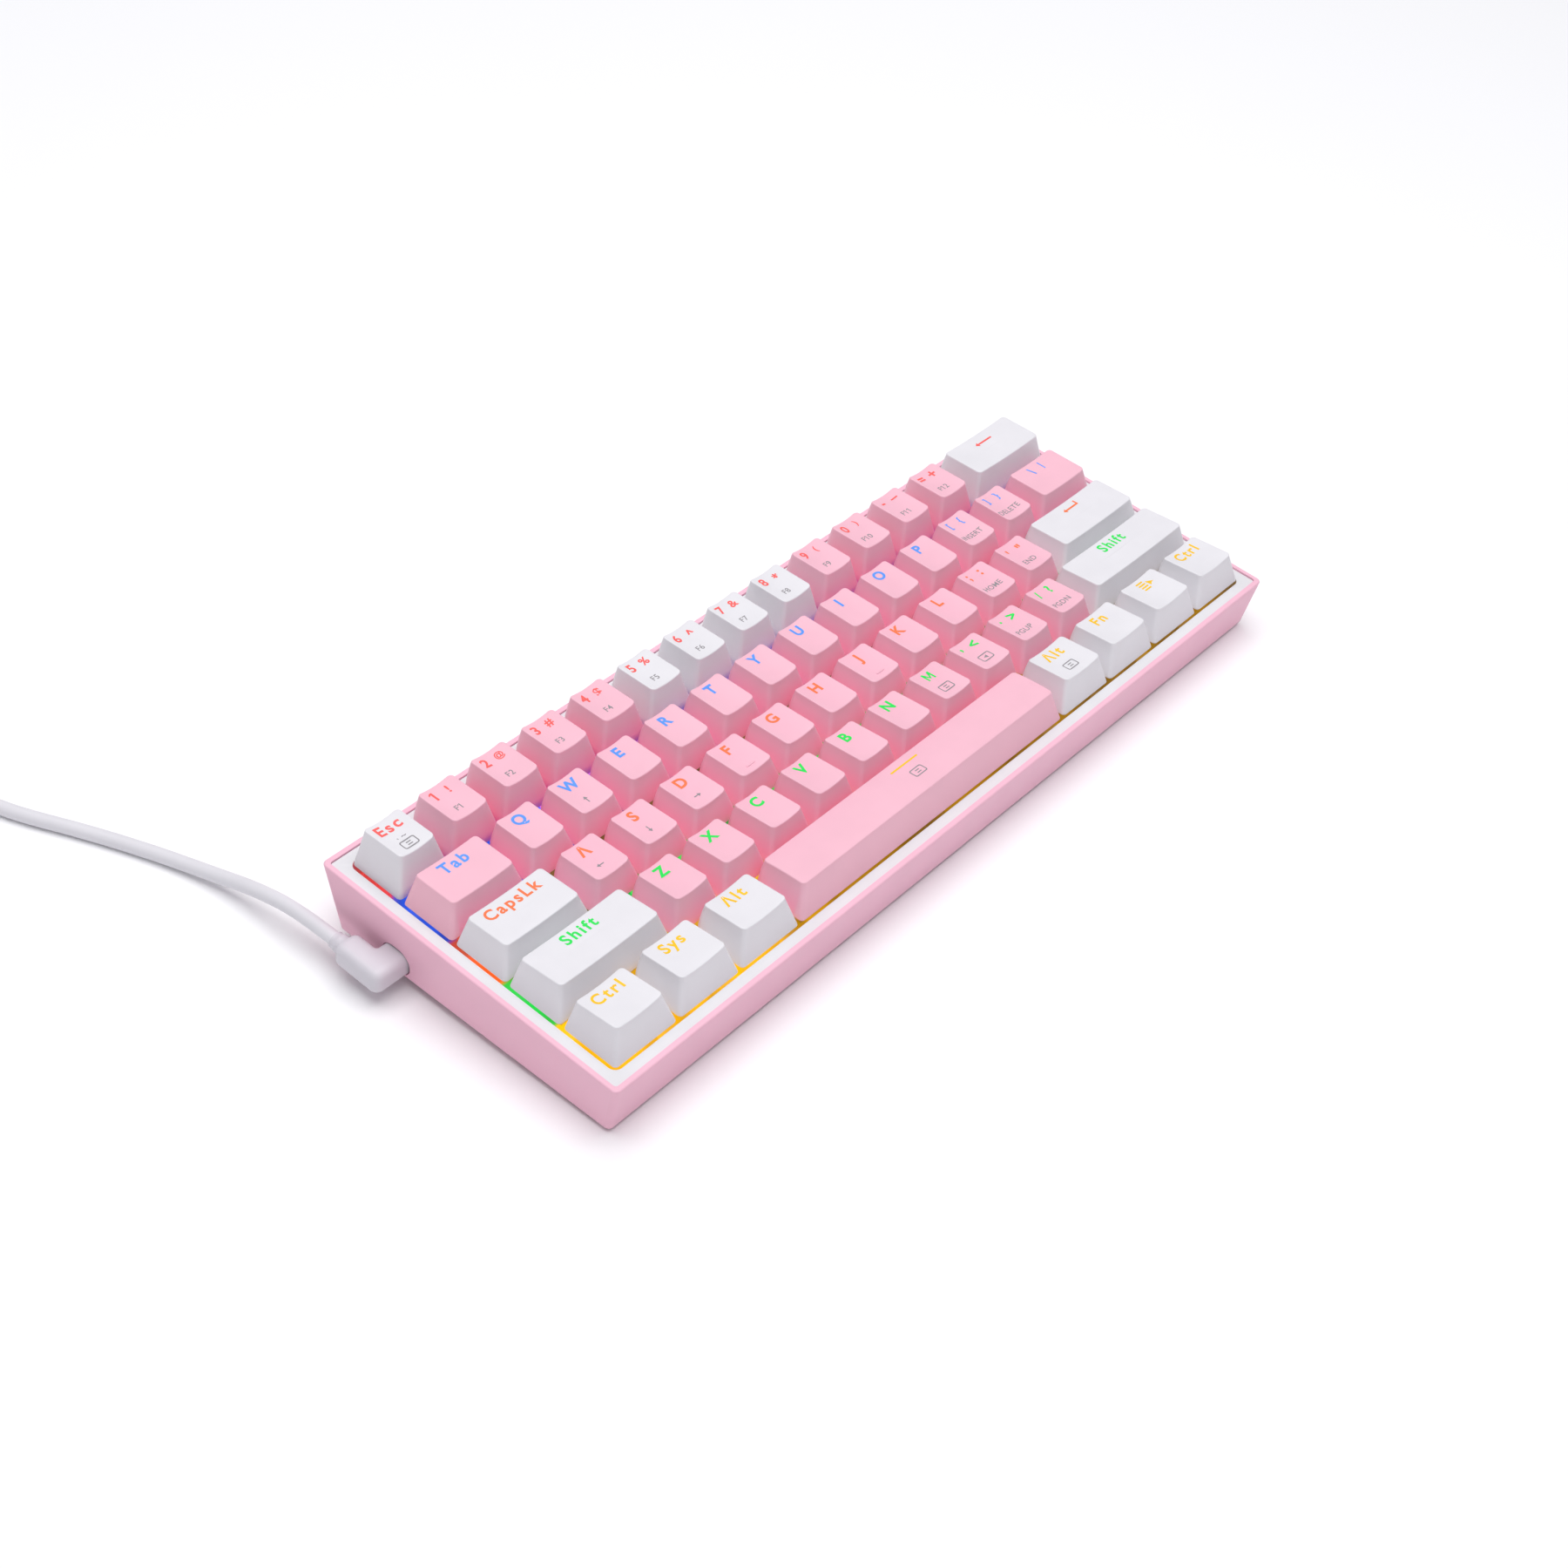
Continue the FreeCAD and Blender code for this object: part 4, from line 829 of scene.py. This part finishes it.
def box_sign():
    """A frame round two short lines."""
    sign = frame_sign()
    for y in (0.45 * MM, -0.45 * MM):
        sign += bar((-0.8 * MM, 0.8 * MM), (y - THIN_LINE / 2, y + THIN_LINE / 2))
    return sign


def pointer_box_sign():
    """A frame round a small solid pointer."""
    pointer = [(-0.8 * MM, 0.0), (0.7 * MM, -0.7 * MM), (0.7 * MM, 0.7 * MM)]
    return frame_sign() + [pointer]


def escape_sign():
    """The frame of the escape key, with the two accents above it."""
    sign = box_sign()
    for text, x in (("`", -1.4 * MM), ("~", 0.7 * MM)):
        sign += shifted(symbol(text, SECOND_HEIGHT, SECOND_WEIGHT), x, 2.9 * MM)
    return sign


# Each sign: its polygons, and where its middle stands on the top, in mm
SIGNS = {
    "<back>": (arrow(8.0 * MM, 1.4 * MM, LINE_WIDTH), -0.4, 3.0),
    "<return>": (return_sign(), -0.4, 3.7),
    "<menu>": (menu_sign(), 0.5, 3.5),
    "<long bar>": (bar((-BAR_LENGTH / 2, BAR_LENGTH / 2), (-BAR_HALF_WIDTH, BAR_HALF_WIDTH)),
                   0.5, 4.1),
    "<box>": (box_sign(), -0.5, -2.9),
    "<pointer box>": (pointer_box_sign(), -0.3, -2.7),
    "<escape>": (escape_sign(), -0.1, -4.0),
    "<space box>": (box_sign(), 1.0, -0.5),
    "<left>": (arrow(*SMALL_ARROW), -0.8, -2.9),
    "<up>": (turned(arrow(*SMALL_ARROW), 1), -0.8, -3.1),
    "<right>": (turned(arrow(*SMALL_ARROW), 2), -0.8, -2.8),
    "<down>": (turned(arrow(*SMALL_ARROW), 3), -0.7, -2.6),
}


def print_sign(bm, cap, text, material):
    """Lays a drawn sign in its own place on the cap's top."""
    polygons, x, y = SIGNS[text]
    print_on(bm, cap, polygons, x * MM, y * MM, material)


def print_on(bm, cap, polygons, x, y, material):
    """Lays flat polygons on the cap's top, about a place on it."""
    for polygon in polygons:
        corners = []
        for px, py in polygon:
            corner_x, corner_y = x + px, cap.shift + y + py
            height = cap.top_height(corner_x, corner_y) + PRINT_LIFT
            corners.append(bm.verts.new((corner_x, corner_y, height)))
        face = bm.faces.new(corners)
        face.material_index = material


def print_main(bm, cap, text):
    """The lit legend: a sign, two symbols side by side, or a letter or word."""
    if text in SIGNS:
        print_sign(bm, cap, text, 0)
    elif text == "M":
        print_on(bm, cap, letter_m(MAIN_HEIGHT), MAIN_X, MAIN_Y, 0)
    elif " " in text:
        first, second = text.split()
        share = SHIFTED_SHARE if first.isdigit() else 1.0
        print_on(bm, cap, symbol(first, MAIN_HEIGHT, MAIN_WEIGHT), PAIR_X[0], MAIN_Y, 0)
        print_on(bm, cap, symbol(second, MAIN_HEIGHT * share, MAIN_WEIGHT), PAIR_X[1], MAIN_Y, 0)
    else:
        weight = LETTER_WEIGHT if len(text) == 1 else MAIN_WEIGHT
        print_on(bm, cap, word(text, MAIN_HEIGHT, weight, MAIN_SPACING), MAIN_X, MAIN_Y, 0)


def print_second(bm, cap, text):
    """The small grey legend, if the key has one."""
    if text in SIGNS:
        print_sign(bm, cap, text, 1)
    elif text and text != "<bar>":
        small = word(text, SECOND_HEIGHT, SECOND_WEIGHT, SECOND_SPACING)
        print_on(bm, cap, small, SECOND_X, SECOND_Y, 1)


def make_legend(name, row, cap, place, node, main, second):
    """The legends of one key, as one piece that rides with its cap."""
    bm = bmesh.new()
    print_main(bm, cap, main)
    print_second(bm, cap, second)
    make_piece("legend_" + name, bm, [LEGEND_MATERIALS[row], MATERIALS["grey_print"]],
               node, matrix=place)


def make_keys():
    """Every key of every row, from left to right."""
    for row, keys in KEY_ROWS.items():
        y = ROW_PROFILES[row][0] * PITCH
        left = FIELD_LEFT
        for name, units, main, second in keys:
            place = BOARD_TO_FLOOR @ Matrix.Translation((left + units * PITCH / 2, y, 0.0))
            cap = Cap(row, units, CAP_ROUNDER_BACK if left > FIELD_LEFT else 0.0)
            colour = "key_white" if name in WHITE_KEYS else "key_pink"
            node = node_of_key(name, colour)
            make_keycap(name, cap, place, node, colour, second)
            make_legend(name, row, cap, place, node, main, second)
            left += units * PITCH


# ---- CAD nodes that stay ----

NODE_MATERIALS = {
    "bottom_case": "case_pink",
    "top_frame": "frame_white",
    "switch_plate": "plate_paint",
    "circuit_board": "circuit_board",
    "switch_housings": "switch_housing",
    "switch_springs": "spring_steel",
    "switch_contacts": "contact_brass",
    "backlight_leds": "led_lens",
    "stabiliser_housings": "stabiliser_plastic",
    "circuit_board_screws": "screw_steel",
    "rubber_feet": "foot_rubber",
    "usb_socket": "socket_steel",
    "controller_chip": "chip_plastic",
}
NODE_MATERIALS.update({"stabiliser_wire_" + key: "wire_steel" for key in STABILISER_SPREAD})


def finish_nodes():
    """Materials for the CAD's own solids that stay in sight."""
    for node, material in NODE_MATERIALS.items():
        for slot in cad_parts[node].material_slots:
            slot.material = MATERIALS[material]


# ---- Plugs and cable ----

def along(matrix, stations, per_corner=5):
    """Rings along an axis: each station is (place, half width, half height, corner radius)."""
    rings = []
    for place, half_width, half_height, radius in stations:
        ring = outline(half_width, -half_height, half_height, radius, per_corner)
        rings.append([matrix @ Vector((x, y, place)) for x, y in ring])
    return rings


def pillow(start, end, half_width, half_height, radius, edge):
    """Stations of a bar with rounded corners and rounded ends."""
    steps = 4
    stations = []
    for step in range(steps + 1):
        angle = math.radians(90 * step / steps)
        inset = edge * (1 - math.sin(angle))
        place = start + math.copysign(edge * (1 - math.cos(angle)), end - start)
        stations.append((place, half_width - inset, half_height - inset, max(radius - inset, 1e-5)))
    mirrored = [(start + end - place, *rest) for place, *rest in reversed(stations)]
    return stations + mirrored


def open_tip(bm, matrix, start, end, half_width, half_height, radius, wall, depth):
    """A metal shell that is open at its end, with its lining."""
    lip = 0.08 * MM
    stations = []
    for place, inset in ((start, 0.0), (end - lip, 0.0), (end, lip), (end, wall), (end - depth, wall)):
        stations.append((place, half_width - inset, half_height - inset, radius - inset))
    loft(bm, along(matrix, stations), 1)


# Matrices that turn an axis to X, Y or the front; the rings' own y goes up in each
AXIS_X = Matrix(((0, 0, 1, 0), (1, 0, 0, 0), (0, 1, 0, 0), (0, 0, 0, 1)))
AXIS_Y = Matrix(((1, 0, 0, 0), (0, 0, 1, 0), (0, 1, 0, 0), (0, 0, 0, 1)))
AXIS_FRONT = Matrix(((1, 0, 0, 0), (0, 0, -1, 0), (0, 1, 0, 0), (0, 0, 0, 1)))
USB_A_ORIGIN = Vector((*(COIL_CENTRE + Vector((USB_A_X, USB_A_RELIEF_END))), USB_A_LEVEL))
PLUG_MATERIALS = [MATERIALS[name] for name in ("plug_plastic", "socket_steel", "plug_insulator")]


def relief_stations(start, length, radius, tip_radius, ribs):
    """A strain relief that tapers towards the cable, with grooves round it."""
    stations = []
    count = ribs * 4
    for step in range(count + 1):
        share = step / count
        size = radius + (tip_radius - radius) * share
        groove = 0.18 * MM if step % 4 in (2, 3) else 0.0
        stations.append((start + length * share, size - groove, size - groove, size - groove))
    return stations


def angled_outline(inset):
    """The plug seen from above: an L of body and leg, with rounded corners, drawn in by inset."""
    left, right = PLUG_X
    front, back = PLUG_Y
    inner = SOCKET_Y + PLUG_LEG_HALF
    # Corner, the side it is on, radius (below zero where it is hollow), and where its arc starts
    corners = [((left + inset, front + inset), (-1, -1), 2.4 * MM - inset * 0.6, 180),
               ((PLUG_LEG_END_X, front + inset), (1, -1), 0.3 * MM, 270),
               ((PLUG_LEG_END_X, inner - inset), (1, 1), 0.3 * MM, 0),
               ((right - inset, inner - inset), (-1, -1), -0.6 * MM - inset, 180),
               ((right - inset, back - inset), (1, 1), 2.0 * MM - inset * 0.6, 0),
               ((left + inset, back - inset), (-1, 1), 2.0 * MM - inset * 0.6, 90)]
    ring = []
    steps = 6
    for (x, y), (side_x, side_y), radius, start in corners:
        concave = radius < 0
        radius = abs(radius)
        centre_x, centre_y = x - side_x * radius, y - side_y * radius
        for step in range(steps + 1):
            share = 1 - step / steps if concave else step / steps
            angle = math.radians(start + 90 * share)
            ring.append((centre_x + radius * math.cos(angle), centre_y + radius * math.sin(angle)))
    return ring


def make_usb_c_plug():
    """The angled plug: one moulded body with its leg, strain relief, metal tip and tongue."""
    bm = bmesh.new()
    rings = []
    for side in (-1, 1):
        for step in range(PLUG_EDGE_STEPS + 1)[::-side]:
            angle = math.radians(90 * step / PLUG_EDGE_STEPS)
            inset = PLUG_EDGE * (1 - math.sin(angle))
            level = SOCKET_Z + side * (PLUG_HALF_HEIGHT - PLUG_EDGE * (1 - math.cos(angle)))
            rings.append([(x, y, level) for x, y in angled_outline(inset)])
    loft(bm, rings)
    body_place = Matrix.Translation((PLUG_CABLE_X, 0.0, SOCKET_Z)) @ AXIS_Y
    loft(bm, along(body_place, relief_stations(PLUG_Y[1] - 1.0 * MM, RELIEF_LENGTH + 1.0 * MM,
                                               3.1 * MM, 2.5 * MM, 2), 8))
    leg_place = Matrix.Translation((0.0, SOCKET_Y, SOCKET_Z)) @ AXIS_X
    open_tip(bm, leg_place, PLUG_LEG_END_X - 0.2 * MM, PLUG_TIP_END_X, 4.12 * MM, 1.22 * MM,
             1.15 * MM, 0.3 * MM, TIP_DEPTH)
    for side in (-1, 1):
        contacts = [(PLUG_TIP_END_X - TIP_DEPTH, 3.4 * MM, 0.12 * MM, 0.1 * MM),
                    (PLUG_TIP_END_X - 0.7 * MM, 3.4 * MM, 0.12 * MM, 0.1 * MM)]
        shift = Matrix.Translation((0.0, 0.0, side * 0.72 * MM))
        loft(bm, along(shift @ leg_place, contacts), 2)
    piece = make_piece("usb_c_plug_detailed", bm, PLUG_MATERIALS, "cable", 35.0)
    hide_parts("usb_c_plug")
    return piece


def make_usb_a_plug():
    """The computer's plug on the coil: grooved relief, ribbed grip, shell and tongue."""
    bm = bmesh.new()
    place = Matrix.Translation(USB_A_ORIGIN) @ AXIS_FRONT
    relief = relief_stations(0.0, USB_A_RELIEF, 2.35 * MM, 2.9 * MM, 3)
    loft(bm, along(place, relief, 8))
    grip_end = USB_A_RELIEF + USB_A_GRIP
    loft(bm, along(place, pillow(USB_A_RELIEF, grip_end, USB_A_HALF_WIDTH, USB_A_HALF_HEIGHT,
                                 1.4 * MM, 1.0 * MM), 6))
    for step in range(4):                       # ribs across the grip
        centre = grip_end - (4.0 + 2.2 * step) * MM
        rib = pillow(centre - 0.45 * MM, centre + 0.45 * MM, USB_A_HALF_WIDTH - 1.4 * MM,
                     0.2 * MM, 0.2 * MM, 0.15 * MM)
        lift = Matrix.Translation((0.0, 0.0, USB_A_HALF_HEIGHT - 0.05 * MM))
        loft(bm, along(lift @ place, rib))
    shell_end = grip_end + USB_A_SHELL
    open_tip(bm, place, grip_end - 0.3 * MM, shell_end, USB_A_HALF_WIDTH, 2.25 * MM, 0.45 * MM,
             0.35 * MM, 11.0 * MM)
    tongue = [(grip_end + 1.0 * MM, 5.3 * MM, 0.85 * MM, 0.1 * MM),
              (shell_end - 0.5 * MM, 5.3 * MM, 0.85 * MM, 0.1 * MM)]
    loft(bm, along(Matrix.Translation((0.0, 0.0, 0.95 * MM)) @ place, tongue), 2)
    piece = make_piece("usb_a_plug_detailed", bm, PLUG_MATERIALS, "cable", 35.0,
                       matrix=Matrix.Identity(4))
    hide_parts("usb_a_plug")
    return piece


def smooth_step(value):
    """Eases from 0 to 1."""
    value = min(max(value, 0.0), 1.0)
    return value * value * (3 - 2 * value)


def coil_points():
    """Nine turns in three layers, then the lead that rises from the inner turn to the plug."""
    turns = [COIL_MIDDLE_RADIUS + side * CABLE_DIAMETER for side in (1, 0, -1, -1, 0, 1, 1, 0, -1)]
    spread = 1 / math.cos(math.pi / COIL_STEPS)     # the curve cuts the corners of its points
    points = []
    last_step = int((len(turns) + COIL_LAST_TURN) * COIL_STEPS)
    for i in range(1, last_step + 1):
        turn = i / COIL_STEPS
        index = min(int(turn), len(turns) - 1)
        layer = index // COIL_LAYERS
        start = turns[index - 1] if index else turns[0]
        across = smooth_step((turn - index) / COIL_SHIFT_SHARE)
        radius = start + (turns[index] - start) * across
        rise = smooth_step((turn - index - 1 + COIL_SHIFT_SHARE) / COIL_SHIFT_SHARE)
        climbs = index % COIL_LAYERS == COIL_LAYERS - 1 and layer < COIL_LAYERS - 1
        level = COIL_BOTTOM + CABLE_DIAMETER * (layer + 0.5 + (rise if climbs else 0.0))
        angle = 2 * math.pi * turn
        points.append((COIL_CENTRE.x + radius * spread * math.cos(angle),
                       COIL_CENTRE.y + radius * spread * math.sin(angle), level))
    return points + lead_points(points[-1][2])


def lead_points(start_level):
    """The arc from the inner turn up to the plug's relief."""
    end_x, end_y, end_level = USB_A_ORIGIN
    points = []
    for i in range(1, 8):
        share = i / 7
        angle = math.radians(60 + 120 * share)
        level = start_level + (end_level - start_level) * smooth_step(share * 1.05)
        points.append((end_x + LEAD_RADIUS * (1 + math.cos(angle)),
                       end_y + LEAD_RADIUS * math.sin(angle), level))
    return points + [(end_x, end_y - 2.5 * MM, end_level)]


def make_cable():
    """The cable as one smooth line from the angled plug's relief to the computer's plug."""
    exit_point = BOARD_TO_FLOOR @ Vector((PLUG_CABLE_X, PLUG_Y[1] + RELIEF_LENGTH, SOCKET_Z))
    start = BOARD_TO_FLOOR @ Vector((PLUG_CABLE_X, PLUG_Y[1] + 1.0 * MM, SOCKET_Z))
    points = [tuple(start)] + CABLE_ROUTE + coil_points()
    curve = bpy.data.curves.new("cable", "CURVE")
    curve.dimensions = "3D"
    curve.bevel_depth = CABLE_DIAMETER / 2
    curve.bevel_resolution = 6
    curve.resolution_u = 6
    curve.use_fill_caps = True
    spline = curve.splines.new("NURBS")
    spline.points.add(len(points) - 1)
    for point, place in zip(spline.points, points):
        point.co = (*place, 1.0)
    spline.order_u = 3
    spline.use_endpoint_u = True
    curve.materials.append(MATERIALS["cable_jacket"])
    cable = add_object("cable_line", curve)
    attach(cable, "cable")
    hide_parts("usb_cable", "usb_cable_coil")
    return cable, tuple(exit_point)


def make_tie():
    """A woven strap round the coil."""
    bm = bmesh.new()
    half = COIL_LAYERS * CABLE_DIAMETER / 2
    outward = Vector((math.cos(TIE_ANGLE), math.sin(TIE_ANGLE)))
    rings = []
    for offset, side in ((0.05, -1), (0.05, 1), (0.5, 1), (0.5, -1)):
        reach = half + offset * MM
        middle = COIL_CENTRE + side * TIE_HALF_WIDTH * Vector((-outward.y, outward.x))
        ring = []
        for radial, up in outline(reach, -reach, reach, 2.2 * MM, 6, 4, 4):
            x, y = middle + outward * (COIL_MIDDLE_RADIUS + radial)
            ring.append((x, y, max(COIL_BOTTOM + half + up, TIE_LOWEST)))
        rings.append(ring)
    loft(bm, rings, closed_loop=True)
    return make_piece("cable_tie", bm, [MATERIALS["tie_fabric"]], "cable",
                      matrix=Matrix.Identity(4))


# ---- Stage, lights and camera ----

def make_stage():
    """The plain pale floor."""
    floor_material = Surface("floor", srgb(252, 252, 253), 0.9)
    floor_material.vary(0.003, 0.2)
    mesh = bpy.data.meshes.new("floor")
    corners = [(x * FLOOR_HALF, y * FLOOR_HALF, 0) for x, y in ((-1, -1), (1, -1), (1, 1), (-1, 1))]
    mesh.from_pydata(corners, [], [(0, 1, 2, 3)])
    mesh.materials.append(floor_material.material)
    floor = add_object("floor", mesh)


def make_lights():
    """An even pale surround and one broad soft light straight above."""
    world = bpy.data.worlds.new("studio")
    bpy.context.scene.world = world
    world.use_nodes = True
    background = world.node_tree.nodes["Background"]
    background.inputs["Color"].default_value = (*WORLD_COLOUR, 1.0)
    background.inputs["Strength"].default_value = WORLD_STRENGTH
    light = bpy.data.lights.new("top_light", "AREA")
    light.shape = "SQUARE"
    light.size = LIGHT_SIZE
    light.energy = LIGHT_POWER
    add_object("top_light", light).location.z = LIGHT_HEIGHT


def make_camera():
    """The camera where the picture was taken from."""
    forward = CAMERA_FORWARD.normalized()
    right = forward.cross(CAMERA_UP.normalized()).normalized()
    up = right.cross(forward)
    turn = Matrix((right, up, -forward)).transposed().to_4x4()
    data = bpy.data.cameras.new("camera")
    data.lens = CAMERA_LENS
    data.sensor_width = 36.0
    data.clip_start = 0.01
    camera = add_object("camera", data)
    camera.matrix_world = Matrix.Translation(CAMERA_PLACE) @ turn
    bpy.context.scene.camera = camera


bpy.context.scene.view_settings.view_transform = "Standard"
make_camera()
usb_c_plug = make_usb_c_plug()
usb_a_plug = make_usb_a_plug()
cable, exit_point = make_cable()
tie = make_tie()
finish_nodes()
make_keys()
make_stage()
make_lights()
